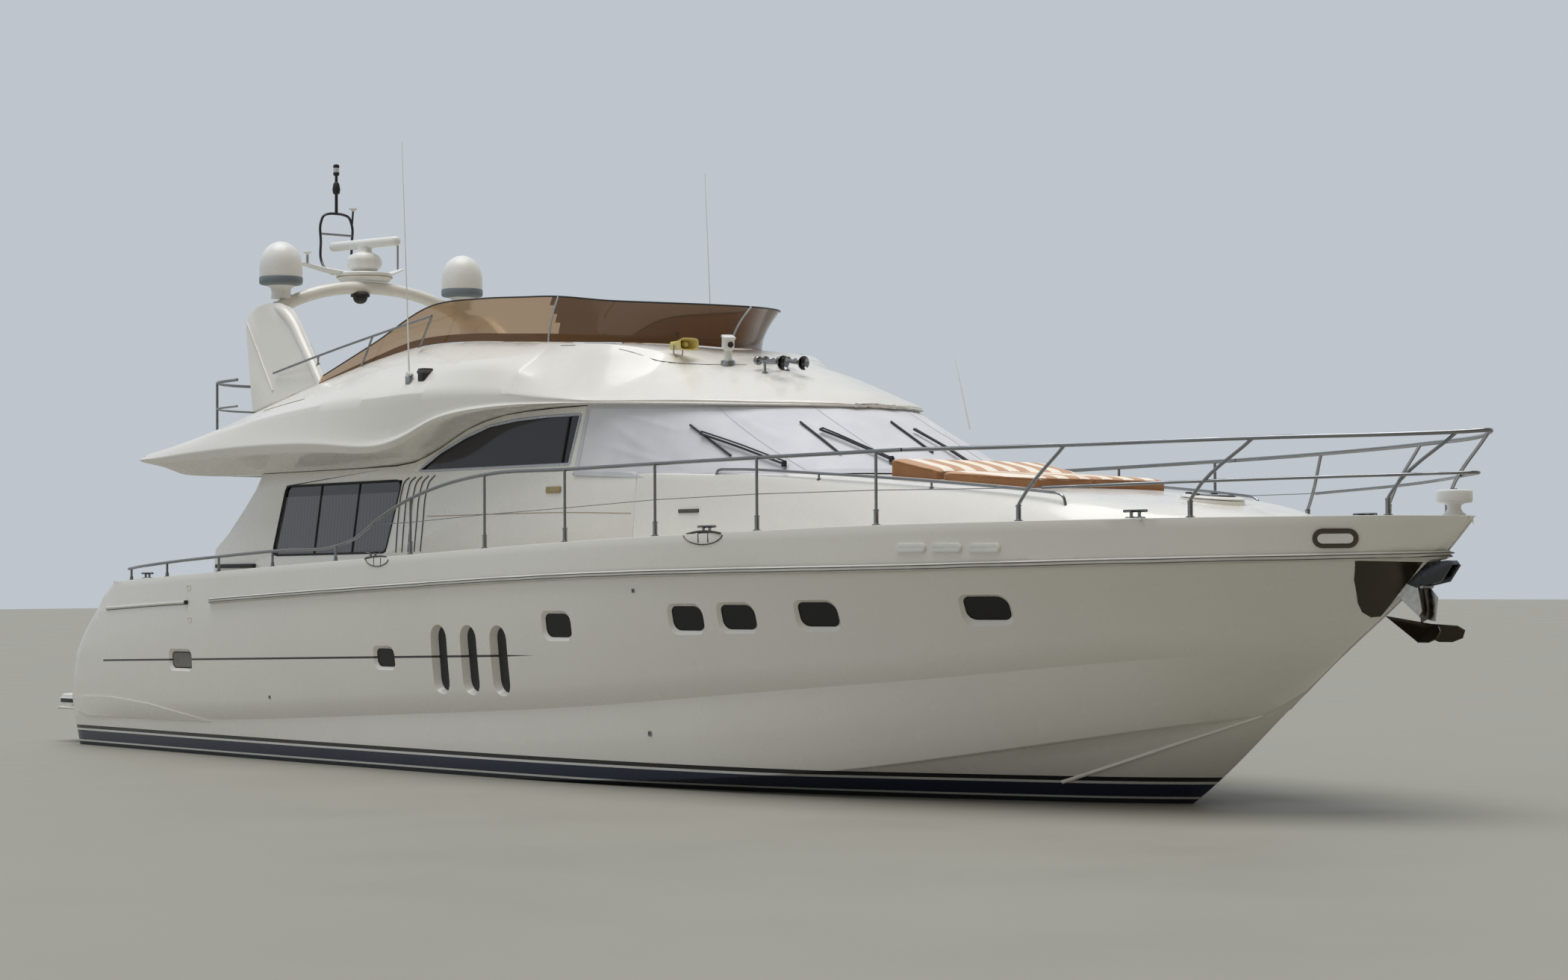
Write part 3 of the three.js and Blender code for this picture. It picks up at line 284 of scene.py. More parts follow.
def block(low, high, material, bevel=0.0, segments=3):
    centre = [(a + b) / 2 for a, b in zip(low, high)]
    deselect()
    bpy.ops.mesh.primitive_cube_add(size=1, location=centre, scale=[b - a for a, b in zip(low, high)])
    obj = settle(bpy.context.object)
    if bevel:
        modify(obj, "BEVEL", width=bevel, segments=segments, limit_method="ANGLE", angle_limit=math.radians(40))
    return paint(obj, material)


def roundedLoop(corners, radii, steps=6):
    # corners in a plane, each rounded off with an arc of its own radius
    corners = [Vector(c) for c in corners]
    radii = radii if isinstance(radii, (list, tuple)) else [radii] * len(corners)
    loop = []
    for i, corner in enumerate(corners):
        before = (corners[i - 1] - corner).normalized()
        after = (corners[(i + 1) % len(corners)] - corner).normalized()
        half = before.angle(after) / 2
        reach = radii[i] / math.tan(half)
        loop += interpolate_bezier(corner + before * reach, corner + before * reach * 0.45,
                                   corner + after * reach * 0.45, corner + after * reach, steps)
    return loop


# Moulded fittings: an outline, then insets and rises

def moulded(outline, steps, material, inner=None):
    # outline in the XY plane facing +Z; steps of (inset, rise); the last face may have its own material
    obj = paint(newMesh("moulded", outline, [range(len(outline))]), material, inner or material)
    editing(obj, "FACE")
    bpy.ops.mesh.select_all(action="SELECT")
    bpy.ops.mesh.normals_make_consistent(inside=False)
    for inset, rise in steps:
        if inset:
            bpy.ops.mesh.inset(thickness=inset)
        if rise:
            bpy.ops.mesh.extrude_region_move(TRANSFORM_OT_translate={"value": (0, 0, rise)})
    bpy.context.object.active_material_index = 1
    bpy.ops.object.material_slot_assign()
    deselect()
    return obj


def stadium(length, height, steps=10):
    reach = (length - height) / 2
    radius = height / 2
    right = [(reach + radius * math.sin(a), radius * math.cos(a), 0)
             for a in [math.pi * i / steps for i in range(steps + 1)]]
    return [*right, *[(-x, -y, 0) for x, y, _ in right]]


# Materials

def linear(hexColor):
    parts = [int(hexColor[i:i + 2], 16) / 255 for i in (1, 3, 5)]
    return (*[c / 12.92 if c <= 0.04045 else ((c + 0.055) / 1.055) ** 2.4 for c in parts], 1)


def addNode(material, kind, inputs=None, **settings):
    node = material.node_tree.nodes.new("ShaderNode" + kind)
    for key, value in settings.items():
        setattr(node, key, value)
    for key, value in (inputs or {}).items():
        if isinstance(value, bpy.types.NodeSocket):
            material.node_tree.links.new(value, node.inputs[key])
        else:
            node.inputs[key].default_value = value
    return node


def newMaterial(name, hexColor, roughness, **sockets):
    material = bpy.data.materials.new(name)
    material.use_nodes = True
    shader = material.node_tree.nodes["Principled BSDF"]
    shader.inputs["Base Color"].default_value = linear(hexColor)
    shader.inputs["Roughness"].default_value = roughness
    for key, value in sockets.items():
        shader.inputs[key.replace("_", " ")].default_value = value
    material.diffuse_color = linear(hexColor)
    return material, shader


def wire(material, source, shader, socket):
    material.node_tree.links.new(source, shader.inputs[socket])


def objectPlace(material):
    return addNode(material, "TexCoord").outputs["Object"]


def blotches(material, size, detail=3, rough=0.5, place=None):
    # size is the width of one blotch, in metres
    return addNode(material, "TexNoise", {"Vector": place or objectPlace(material), "Scale": 1 / size,
                                          "Detail": detail, "Roughness": rough}).outputs["Fac"]


def spread(material, value, low, high, toLow=0.0, toHigh=1.0):
    return addNode(material, "MapRange", {"Value": value, "From Min": low, "From Max": high,
                                          "To Min": toLow, "To Max": toHigh}).outputs["Result"]


def blendColors(material, factor, first, second):
    node = addNode(material, "Mix", {"Factor": factor}, data_type="RGBA")
    for socket, value in ((node.inputs[6], first), (node.inputs[7], second)):
        if isinstance(value, bpy.types.NodeSocket):
            material.node_tree.links.new(value, socket)
        else:
            socket.default_value = linear(value)
    return node.outputs[2]


def math2(material, operation, a, b):
    return addNode(material, "Math", {0: a, 1: b}, operation=operation).outputs[0]


def bump(material, shader, height, strength, distance):
    node = addNode(material, "Bump", {"Height": height, "Strength": strength, "Distance": distance})
    wire(material, node.outputs["Normal"], shader, "Normal")


gelcoatLook = {"clean": "#e9e6df", "worn": "#e6e3dc", "blotch": 1.4, "orangePeel": 0.004, "roughness": 0.22}


def gelcoatColor(material, look=gelcoatLook):
    # sprayed gelcoat chalks in broad, faint clouds
    cloud = spread(material, blotches(material, look["blotch"], 5, 0.6), 0.42, 0.72)
    return blendColors(material, cloud, look["clean"], look["worn"])


def makeGelcoat(name="gelcoat_polished"):
    # polished gelcoat: hard gloss over a faint orange peel from the mould
    material, shader = newMaterial(name, gelcoatLook["clean"], gelcoatLook["roughness"], Coat_Weight=0.35,
                                   Coat_Roughness=0.08)
    wire(material, gelcoatColor(material), shader, "Base Color")
    wire(material, spread(material, blotches(material, 0.25, 4), 0.35, 0.7, 0.2, 0.34), shader, "Roughness")
    bump(material, shader, blotches(material, gelcoatLook["orangePeel"] * 4, 2), 0.06, 0.002)
    return material


hullLook = {
    "black": (0.232, 0.258), "white": (0.19, 0.215), "navy": (0.072, 0.19), "thinWhite": (0.045, 0.066),
    "stripeX": (1.91, 11.57), "stripeZ": (1.11, 1.32), "stripeHalf": 0.012,
}


def bandMask(material, value, low, high):
    above = math2(material, "GREATER_THAN", value, low)
    below = math2(material, "LESS_THAN", value, high)
    return math2(material, "MULTIPLY", above, below)


def makeHullPaint():
    # gelcoat topsides with painted boot stripes and dark antifouling below them
    material, shader = newMaterial("hull_paint", gelcoatLook["clean"], 0.24, Coat_Weight=0.3, Coat_Roughness=0.1)
    place = addNode(material, "SeparateXYZ", {0: objectPlace(material)})
    x, z = place.outputs[0], place.outputs[2]
    color = gelcoatColor(material)
    run = (hullLook["stripeZ"][1] - hullLook["stripeZ"][0]) / (hullLook["stripeX"][1] - hullLook["stripeX"][0])
    line = math2(material, "MULTIPLY_ADD", x, -run)
    line.node.inputs[2].default_value = hullLook["stripeX"][0] * run - hullLook["stripeZ"][0]
    offLine = math2(material, "ADD", z, line)
    halfWidth = spread(material, x, hullLook["stripeX"][1] - 0.7, hullLook["stripeX"][1], hullLook["stripeHalf"], 0)
    stripe = math2(material, "LESS_THAN", math2(material, "ABSOLUTE", offLine, 0), halfWidth)
    stripe = math2(material, "MULTIPLY", stripe, bandMask(material, x, *hullLook["stripeX"]))
    color = blendColors(material, stripe, color, "#26282c")
    topMask = math2(material, "LESS_THAN", z, hullLook["black"][1])
    color = blendColors(material, topMask, color, "#15171b")
    color = blendColors(material, bandMask(material, z, *hullLook["white"]), color, "#dcdcd8")
    color = blendColors(material, bandMask(material, z, *hullLook["navy"]), color, "#18233f")
    color = blendColors(material, bandMask(material, z, *hullLook["thinWhite"]), color, "#d0d0cc")
    below = math2(material, "LESS_THAN", z, hullLook["thinWhite"][0])
    grime = blotches(material, 0.05, 6, 0.7)
    color = blendColors(material, below, color, blendColors(material, spread(material, grime, 0.35, 0.7),
                                                            "#14181f", "#252b33"))
    wire(material, color, shader, "Base Color")
    gloss = spread(material, blotches(material, 0.3, 4), 0.35, 0.7, 0.2, 0.32)
    wire(material, math2(material, "MAXIMUM", gloss, spread(material, below, 0, 1, 0, 0.75)), shader, "Roughness")
    bump(material, shader, grime, 0.03, 0.004)
    return material


def makeDeck():
    # moulded non-skid: small raised diamonds, drawn at 12 mm so that they show
    material, shader = newMaterial("nonskid_gelcoat", "#d8d5cc", 0.5)
    checks = addNode(material, "TexChecker", {"Vector": objectPlace(material), "Scale": 1 / 0.012})
    wire(material, blendColors(material, spread(material, blotches(material, 0.4, 5), 0.4, 0.7),
                               "#dad7ce", "#c9c5ba"), shader, "Base Color")
    bump(material, shader, checks.outputs["Fac"], 0.35, 0.0015)
    return material


def makeSteel(name, hexColor="#c6c9cc", roughness=0.14, streak=0.05):
    # polished 316 stainless: mirror gloss with faint drawing marks
    material, shader = newMaterial(name, hexColor, roughness, Metallic=1.0)
    wire(material, spread(material, blotches(material, streak, 4), 0.35, 0.7, roughness * 0.7, roughness * 1.7),
         shader, "Roughness")
    bump(material, shader, blotches(material, 0.003, 2), 0.04, 0.0005)
    return material


def makePlain(name, hexColor, second, roughness, size=0.08, bumpSize=0.004, bumpDepth=0.0008, strength=0.2,
              **sockets):
    # a cast or moulded stuff with faint clouds in its colour and a fine grain
    material, shader = newMaterial(name, hexColor, roughness, **sockets)
    cloud = spread(material, blotches(material, size, 4, 0.6), 0.35, 0.7)
    wire(material, blendColors(material, cloud, hexColor, second), shader, "Base Color")
    wire(material, spread(material, cloud, 0, 1, roughness * 0.85, min(1, roughness * 1.25)), shader, "Roughness")
    bump(material, shader, blotches(material, bumpSize, 3), strength, bumpDepth)
    return material


def makeGlass(name, hexColor, see, roughness=0.04):
    # tinted sheet, polished, with a slight wave that bends its reflections
    material, shader = newMaterial(name, hexColor, roughness, Transmission_Weight=see, IOR=1.45)
    cloud = blotches(material, 0.6, 2)
    wire(material, spread(material, cloud, 0.35, 0.7, roughness, roughness * 2.5), shader, "Roughness")
    bump(material, shader, cloud, 0.05, 0.004)
    return material


def makeSaloonGlass():
    # tinted pane with pleated curtains close behind it, their folds painted as light and shaded stripes, and a dark
    # band along its top
    material, shader = newMaterial("saloon_pane", "#5a5759", 0.08, Coat_Weight=0.5, Coat_Roughness=0.03)
    place = objectPlace(material)
    axes = addNode(material, "SeparateXYZ", {0: place}).outputs
    # the pleats' light and shade is painted as lighter and darker grey stripes
    pleatShading = addNode(material, "TexWave", {"Vector": place, "Scale": 1 / 0.07 / 3, "Distortion": 1.2,
                                           "Detail": 2.0, "Detail Scale": 0.6}, bands_direction="X").outputs["Fac"]
    curtain = blendColors(material, pleatShading, "#4b494d", "#5f5c60")
    darkTopBand = math2(material, "GREATER_THAN", axes[2], 3.12)
    wire(material, blendColors(material, darkTopBand, curtain, "#161515"), shader, "Base Color")
    return material


def makeWeave(name, hexColor, second, thread, roughness=0.85, sheen=0.2, stripes=None):
    # woven cloth; threads are drawn at a few millimetres so that they show
    material, shader = newMaterial(name, hexColor, roughness, Sheen_Weight=sheen, Sheen_Roughness=0.5)
    place = objectPlace(material)
    waves = []
    for axis in ("X", "Y"):
        waves.append(addNode(material, "TexWave", {"Vector": place, "Scale": 1 / thread / 3, "Distortion": 0.6,
                                                   "Detail": 2.0}, bands_direction=axis).outputs["Fac"])
    weave = math2(material, "MULTIPLY", *waves)
    color = blendColors(material, spread(material, blotches(material, 0.5, 5, 0.6), 0.35, 0.7), hexColor, second)
    if stripes:
        y = addNode(material, "SeparateXYZ", {0: place}).outputs[1]
        phase = math2(material, "PINGPONG", math2(material, "ADD", y, stripes["width"] / 2), stripes["width"])
        light = math2(material, "GREATER_THAN", phase, stripes["width"] / 2)
        color = blendColors(material, light, color, stripes["color"])
    wire(material, color, shader, "Base Color")
    bump(material, shader, weave, 0.4, 0.0012)
    return material


gelcoat = makeGelcoat()
hullPaint = makeHullPaint()
nonskid = makeDeck()
# rail steel made a darker grey than bare stainless: painted dark reflection
steel = makeSteel("stainless_polished", "#8e9092", 0.16)
satinSteel = makeSteel("stainless_brushed", "#a3a5a7", 0.3, 0.01)
# polished steel darkened far below bare stainless: painted dark reflection and shade, on the bow plate, hawse ring,
# fairleads and the anchor's shank and flukes
steelPaintedDark = makeSteel("steel_painted_dark_reflection", "#5e5850", 0.16, 0.2)
darkSteel = makeSteel("mast_steel", "#4c4e52", 0.25)
anchorSteel = makeSteel("anchor_steel", "#c4c3bf", 0.28)
bronze = makePlain("manganese_bronze", "#8d7037", "#6f5c33", 0.42, Metallic=0.9)
blackPlastic = makePlain("black_nylon", "#17181a", "#232426", 0.45)
rubber = makePlain("black_rubber", "#1b1c1d", "#28292a", 0.7)
strakeVinyl = makePlain("strake_vinyl", "#dddbd4", "#cfcdc5", 0.4, size=0.5)
grooveDark = makePlain("groove_shadow", "#4a4845", "#5a5752", 0.6)
radome = makePlain("radome_polyester", "#efefec", "#e6e6e2", 0.3, size=0.3, strength=0.08)
radomeGrey = makePlain("radome_base_grey", "#6f7980", "#7a848b", 0.4, size=0.3)
jointTan = makePlain("sealant_tan", "#a89568", "#95845c", 0.6)
yellowPlastic = makePlain("yellow_polyester", "#e3d388", "#d8c673", 0.4)
wheelGrip = makePlain("wheel_grip", "#161616", "#222222", 0.55)
aluminium = makePlain("anodised_aluminium", "#c3c9d2", "#b4bac4", 0.3, Metallic=0.5)
darkGlass = makeGlass("tinted_glass", "#2b2a2e", 0.0)
saloonGlass = makeSaloonGlass()
bronzeAcrylic = makeGlass("bronze_acrylic", "#d2b391", 0.85, 0.03)
# the same acrylic as the side panes, made darker for the front panes: painted shade
bronzeFrontShaded = makeGlass("bronze_acrylic_front_painted_shade", "#7f6148", 0.8, 0.03)
bronzeBand = makeGlass("bronze_acrylic_foot", "#80582f", 0.5, 0.08)
portGlass = makeGlass("port_glass", "#0b0c0d", 0.0)
shutterGrey = makePlain("port_shutter", "#77736c", "#6b6861", 0.4)
lampGlass = makeGlass("lamp_glass", "#d9dde0", 0.6)
coverCloth = makeWeave("cover_canvas", "#dfe0e4", "#d3d4da", 0.004)
coverHem = makeWeave("cover_hem", "#cfd0d5", "#c2c3c9", 0.004)
cushionTan = makeWeave("cushion_canvas", "#9a6a3f", "#8a5d36", 0.005)
cushionStripe = makeWeave("striped_canvas", "#cfa585", "#c79c7b", 0.005,
                          stripes={"width": 0.15, "color": "#fbf0df"})
vinylWhite = makePlain("seat_vinyl", "#ddd9cd", "#d0cbbd", 0.5, bumpSize=0.006)
print("materials made")


# Camera, floor and light

cameraView = {
    "at": (37.33, -21.18, 2.09), "yaw": 49.5, "pitch": 1.69, "roll": -0.34,  # degrees
    "focal": 4078, "frameWidth": 2100,  # in the photograph's pixels
}


def makeCamera():
    yaw, pitch, roll = [math.radians(cameraView[key]) for key in ("yaw", "pitch", "roll")]
    ahead = Vector((-math.sin(yaw) * math.cos(pitch), math.cos(yaw) * math.cos(pitch), math.sin(pitch)))
    level = Vector((math.cos(yaw), math.sin(yaw), 0))
    upward = level.cross(ahead)
    right = level * math.cos(roll) + upward * math.sin(roll)
    up = upward * math.cos(roll) - level * math.sin(roll)
    bpy.ops.object.camera_add()
    camera = bpy.context.object
    matrix = Matrix((right, up, -ahead)).transposed().to_4x4()
    matrix.translation = cameraView["at"]
    camera.matrix_world = matrix
    camera.data.lens = cameraView["focal"] / cameraView["frameWidth"] * camera.data.sensor_width
    camera.data.clip_end = 500
    scene.camera = camera


studio = {"floor": ("#918e83", "#959287"), "world": "#e2eaf2", "ahead": "#96866c", "worldStrength": 0.68,
          "key": 2.1, "keyTurn": (0.05, -0.02, 0.0), "keySoft": 0.9}


def makeStudio():
    deselect()
    bpy.ops.mesh.primitive_plane_add(size=400, location=(0, 0, 0))
    floor = bpy.context.object
    floor.name = "floor"
    floor.data.materials.append(makePlain("studio_floor", *studio["floor"], 0.6, size=3, strength=0.02))
    bpy.ops.object.light_add(type="SUN", rotation=studio["keyTurn"])
    key = bpy.context.object
    key.data.energy = studio["key"]
    key.data.angle = studio["keySoft"]
    world = bpy.data.worlds.new("studio")
    scene.world = world
    world.use_nodes = True
    sky = world.node_tree.nodes["Background"]
    sky.inputs[1].default_value = studio["worldStrength"]
    # a soft, even dome that is darker and warmer ahead of the bow
    direction = addNode(world, "SeparateXYZ", {0: addNode(world, "TexCoord").outputs["Generated"]})
    ahead = spread(world, direction.outputs[0], 0.1, 0.85)
    wire(world, blendColors(world, ahead, studio["world"], studio["ahead"]), sky, "Color")


scene.view_settings.view_transform = "Standard"
makeCamera()
makeStudio()
print("camera and studio set")


# Hull

sheerHeights = [(0.9, 2.075), (2.1, 2.12), (4, 2.19), (6.5, 2.29), (9.3, 2.39), (12.1, 2.49), (15.1, 2.56),
                (19.55, 2.61), (21.6, 2.6)]
cleatX = [3.0, 8.5, 14.35, 19.1]


def sheerZ(x):
    for (x0, z0), (x1, z1) in zip(sheerHeights, sheerHeights[1:]):
        if x <= x1:
            return z0 + (z1 - z0) * (x - x0) / (x1 - x0)
    return sheerHeights[-1][1]


# The knuckle between the side and the lower panel: x, half breadth, z
knuckle = [(0.9, 2.36, 0.38), (4.6, 2.5, 0.43), (8.35, 2.52, 0.6), (12.0, 2.48, 0.79), (14.65, 2.25, 1.0),
           (16.8, 1.85, 1.17), (18.2, 1.35, 1.31), (19.3, 0.75, 1.4), (20.15, 0, 1.45)]
knuckleLook = {"deep": 0.055, "above": 0.25, "below": 0.42}
knuckleLine = smoothPath(knuckle, 12)


def knuckleAt(x):
    for a, b in zip(knuckleLine, knuckleLine[1:]):
        if x <= b.x:
            return a.lerp(b, max(0, (x - a.x) / (b.x - a.x)))
    return knuckleLine[-1]


def onKnuckle(at):
    line = knuckleAt(at.x)
    return abs(at.z - line.z) < 0.025 and abs(abs(at.y) - line.y) < 0.07


def rollKnuckle(obj):
    # the side is drawn in towards the knuckle, and the panel below it starts from there
    bm = bmesh.new()
    bm.from_mesh(obj.data)
    for _ in range(2):
        band = []
        for edge in bm.edges:
            a, b = [v.co for v in edge.verts]
            high = [c.z - knuckleAt(c.x).z for c in (a, b)]
            near = max(high) < knuckleLook["above"] * 1.3 and min(high) > -knuckleLook["below"] * 1.1
            if near and abs(a.z - b.z) > 0.03 and abs(a.z - b.z) > abs(a.x - b.x) and min(abs(a.y), abs(b.y)) > 0.1:
                band.append(edge)
        bmesh.ops.subdivide_edges(bm, edges=band, cuts=1, use_grid_fill=True)
    for vertex in bm.verts:
        x, y, z = vertex.co
        high = z - knuckleAt(x).z
        if -knuckleLook["below"] < high < knuckleLook["above"] and abs(y) > 0.1 and x > 1.05:
            share = 1 - high / knuckleLook["above"] if high > 0 else 1 + high / knuckleLook["below"]
            fade = min(1, (x - 1.05) / 1.5, max(0, (20.1 - x) / 1.5))
            vertex.co.y -= math.copysign(knuckleLook["deep"] * fade * share ** (2 if high > 0 else 1.3), y)
    bm.to_mesh(obj.data)
    bm.free()


def sharpenKnuckle(obj):
    for edge in obj.data.edges:
        ends = [obj.data.vertices[i].co for i in edge.vertices]
        if all(abs(co.z - knuckleAt(co.x).z) < 0.016 and 1.1 < co.x < 20 and abs(co.y) > 0.1 for co in ends):
            edge.use_edge_sharp = True


def isDeck(at, normal):
    return normal.z > 0.9 and at.x > 0.95 and 0.7 < at.z < sheerZ(at.x) - 0.03


def isCleat(at, normal):
    return at.z > sheerZ(at.x) + 0.008 and any(abs(at.x - x) < 0.16 for x in cleatX)


hullSkin = refine("hull", "hull_moulding", "gelcoat", hullPaint, merge=0.003, soft=12, hard=26, bevel=0.008,
                  onLine=onKnuckle)
rollKnuckle(hullSkin)
paintFaces(hullSkin, nonskid, isDeck)
paintFaces(hullSkin, steel, isCleat)


def surfaceTree(obj):
    return BVHTree.FromPolygons([v.co.copy() for v in obj.data.vertices],
                                [tuple(p.vertices) for p in obj.data.polygons])


hullTree = surfaceTree(hullSkin)  # the skin before its recesses are cut


def onHull(x, z):
    # where the hull's starboard skin is at x and z, and which way it faces
    place, normal, _, _ = hullTree.ray_cast(Vector((x, -4, z)), Vector((0, 1, 0)))
    return place, (normal if normal.y < 0 else -normal)


def setOn(obj, place, normal, lean=0.0):
    # a fitting drawn in the XY plane facing +Z is laid on a wall, with its Y up
    forward = Vector((0, 0, 1)).cross(normal).normalized()
    upward = normal.cross(forward)
    matrix = Matrix((forward, upward, normal)).transposed().to_4x4()
    matrix.translation = place
    obj.data.transform(matrix @ Matrix.Rotation(lean, 4, "Z"))
    return obj


def patch(outline, lift, material, size=0.06):
    # a thin skin laid on the hull, its outline given as x and z, with its rim turned in to the hull
    obj = newMesh("patch", [(x, 0, z) for x, z in outline], [range(len(outline))])
    bm = bmesh.new()
    bm.from_mesh(obj.data)
    bmesh.ops.triangulate(bm, faces=bm.faces)
    while True:
        longEdges = [edge for edge in bm.edges if edge.calc_length() > size]
        if not longEdges:
            break
        bmesh.ops.subdivide_edges(bm, edges=longEdges, cuts=1)
        bmesh.ops.triangulate(bm, faces=bm.faces)
    rim = [edge for edge in bm.edges if edge.is_boundary]
    skirt = bmesh.ops.extrude_edge_only(bm, edges=rim)["geom"]
    foot = {item for item in skirt if isinstance(item, bmesh.types.BMVert)}
    for vertex in bm.verts:
        place, normal = onHull(vertex.co.x, vertex.co.z)
        vertex.co = place + normal * (-0.004 if vertex in foot else lift)
    bmesh.ops.recalc_face_normals(bm, faces=bm.faces)
    if sum(face.normal.y for face in bm.faces) > 0:
        bmesh.ops.reverse_faces(bm, faces=bm.faces)
    bm.to_mesh(obj.data)
    bm.free()
    return paint(obj, material)


def shrunk(outline, inset, height=0.0):
    reach = [max(abs(p[axis]) for p in outline) for axis in (0, 1)]
    return [(p[0] * (1 - inset / reach[0]), p[1] * (1 - inset / reach[1]), height) for p in outline]


def plug(outline, depth, inset):
    # a closed shape whose walls close in towards its floor, for cutting a recess
    above = 0.06
    return lofted([shrunk(outline, inset, -depth), shrunk(outline, -inset * above / depth, above)], gelcoat)


def standsProud(obj):
    # whether any of the cut skin lies outside the skin as it was
    for vertex in obj.data.vertices:
        place, normal, _, far = hullTree.find_nearest(vertex.co)
        if far > 0.01 and (vertex.co - place).dot(normal) > 0:
            return True
    return False


def cutInto(obj, plugs):
    # the solver can leave a plug standing on the skin, so each cut is checked, and made again if need be
    tool = joined([*plugs, *[copyOf(p, mirrorY) for p in plugs]])
    whole = obj.data.copy()
    for nudge in (0, 0.0006, -0.0006, 0.0012, -0.0012):
        tool.location = (nudge, 0, nudge)
        modify(obj, "BOOLEAN", object=tool, operation="DIFFERENCE", solver="EXACT")
        if not standsProud(obj):
            break
        print("cut made again")
        obj.data = whole.copy()
    bpy.data.objects.remove(tool)


portholes = {
    "wide": [(11.98, 1.63, 0.49), (13.98, 1.71, 0.505), (14.68, 1.723, 0.52), (15.70, 1.75, 0.54),
             (17.54, 1.805, 0.53)],  # x, z, length
    "small": [(8.735, 1.25, 0.43)], "shuttered": [(4.07, 1.15, 0.6)], "height": 0.32, "lowHeight": 0.275,
    "corners": [0.09, 0.135, 0.08, 0.115],  # radii: forward low, forward high, aft high, aft low
    "depth": 0.035, "slope": 0.038, "pane": [(0, 0.004), (0.007, 0.002), (0.004, -0.004)],
}
gills = {"x": (9.83, 10.385, 10.93), "z": (0.865, 1.635), "width": 0.3, "lean": 1.52, "depth": 0.085,
         "slope": 0.035, "pane": [(0, 0.004), (0.012, 0.001)]}


def portOutline(length, height):
    corners = [(length / 2, -height / 2, 0), (length / 2, height / 2, 0), (-length / 2, height / 2, 0),
               (-length / 2, -height / 2, 0)]
    return roundedLoop(corners, [r * height / portholes["height"] for r in portholes["corners"]], 7)


# Mooring scoops in the gunwale: x to x, top z, depth
fairleads = [(14.08, 14.64, 2.532, 0.092), (8.45, 8.91, 2.345, 0.075)]


def makeRecesses():
    # each recess is cut into the hull, with its pane set on its floor
    plugs, panes, vents = [], [], []
    kinds = [(portholes["wide"], portholes["height"], portGlass), (portholes["small"], portholes["lowHeight"], portGlass),
             (portholes["shuttered"], portholes["lowHeight"], shutterGrey)]
    for rows, height, glass in kinds:
        for x, z, length in rows:
            outline = portOutline(length, height)
            place, normal = onHull(x, z)
            plugs.append(setOn(plug(outline, portholes["depth"], portholes["slope"]), place, normal))
            pane = moulded(shrunk(outline, portholes["slope"]), portholes["pane"], rubber, glass)
            panes.append(setOn(pane, place - normal * portholes["depth"], normal))
    low, high = gills["z"]
    slot = stadium(high - low, gills["width"])
    for x in gills["x"]:
        place, normal = onHull(x, (low + high) / 2)
        plugs.append(setOn(plug(slot, gills["depth"], gills["slope"]), place, normal, gills["lean"]))
        mesh = moulded(shrunk(slot, gills["slope"]), gills["pane"], blackPlastic)
        vents.append(setOn(mesh, place - normal * gills["depth"], normal, gills["lean"]))
    pair(joined(panes), "portholes")
    pair(joined(vents), "air_intakes")
    cutInto(hullSkin, plugs)
    sharpenKnuckle(hullSkin)
    smooth(hullSkin)


ovals = {"places": [(16.99, 2.374), (17.37, 2.37), (17.755, 2.366)], "length": 0.33, "height": 0.085,
         "steps": [(0, 0.012), (0.006, 0.008), (0.01, 0.002), (0.016, -0.002)]}
hawse = {"place": (20.6, 2.418), "length": 0.39, "height": 0.172,
         "steps": [(0, 0.012), (0.007, 0.005), (0.02, 0), (0.004, -0.004), (0.012, 0.002)]}
ventSteps = [(0, 0.004), (0.008, 0.002), (0.003, -0.012)]
drains = [(13.269, 1.99, 0.022), (13.172, 0.554, 0.028), (6.2, 0.75, 0.02)]


def makeWallFittings():
    made = [setOn(moulded(stadium(ovals["length"], ovals["height"]), ovals["steps"], radome), *onHull(x, z))
            for x, z in ovals["places"]]
    pair(joined(made), "deck_scuppers")
    # the ring's darkened steel is painted dark reflection and shade
    ring = moulded(stadium(hawse["length"], hawse["height"]), hawse["steps"], steelPaintedDark, radome)
    pair(setOn(ring, *onHull(*hawse["place"])), "bow_fairlead")
    made = []
    for x, z in ((4.294, 2.04), (4.33, 1.649)):
        outline = roundedLoop([(0.05, -0.036, 0), (0.05, 0.036, 0), (-0.05, 0.036, 0), (-0.05, -0.036, 0)], 0.01, 3)
        made.append(setOn(moulded(outline, ventSteps, gelcoat, grooveDark), *onHull(x, z)))
    for x, z, radius in drains:
        made.append(setOn(moulded(stadium(radius * 2.01, radius * 2, 8), ventSteps, steel, blackPlastic),
                          *onHull(x, z)))
    pair(joined(made), "skin_fittings")


def makeFairleads():
    # polished lip on the uncut hull skin, curved down where each scoop would be, and a roller post at each side of its
    # middle
    runs = []
    for low, high, top, depth in fairleads:
        middle, half = (low + high) / 2, (high - low) / 2
        lip = [onHull(middle - half * math.cos(a), top - 0.004 - depth * math.sin(a) ** 1.2)
               for a in [math.pi * i / 16 for i in range(17)]]
        runs.append(([place + normal * 0.002 for place, normal in lip], 0.006))
        for offset in (-0.07, 0.07):
            place, normal = onHull(middle + offset, top - 0.03)
            runs.append(([place - normal * 0.01 + Vector((0, 0, z)) for z in (-depth * 0.5, 0.045)], 0.013))
        place, normal = onHull(middle, top - 0.03)
        bar = [place - normal * 0.01 + Vector((x, 0, 0.062 - x * x * 0.35)) for x in (-0.26, -0.13, 0, 0.13, 0.26)]
        runs.append((smoothPath(bar), 0.012))
    # lip, posts and bar in the darkened steel: painted dark reflection and shade
    pair(tubes(runs, steelPaintedDark), "gunwale_fairleads")


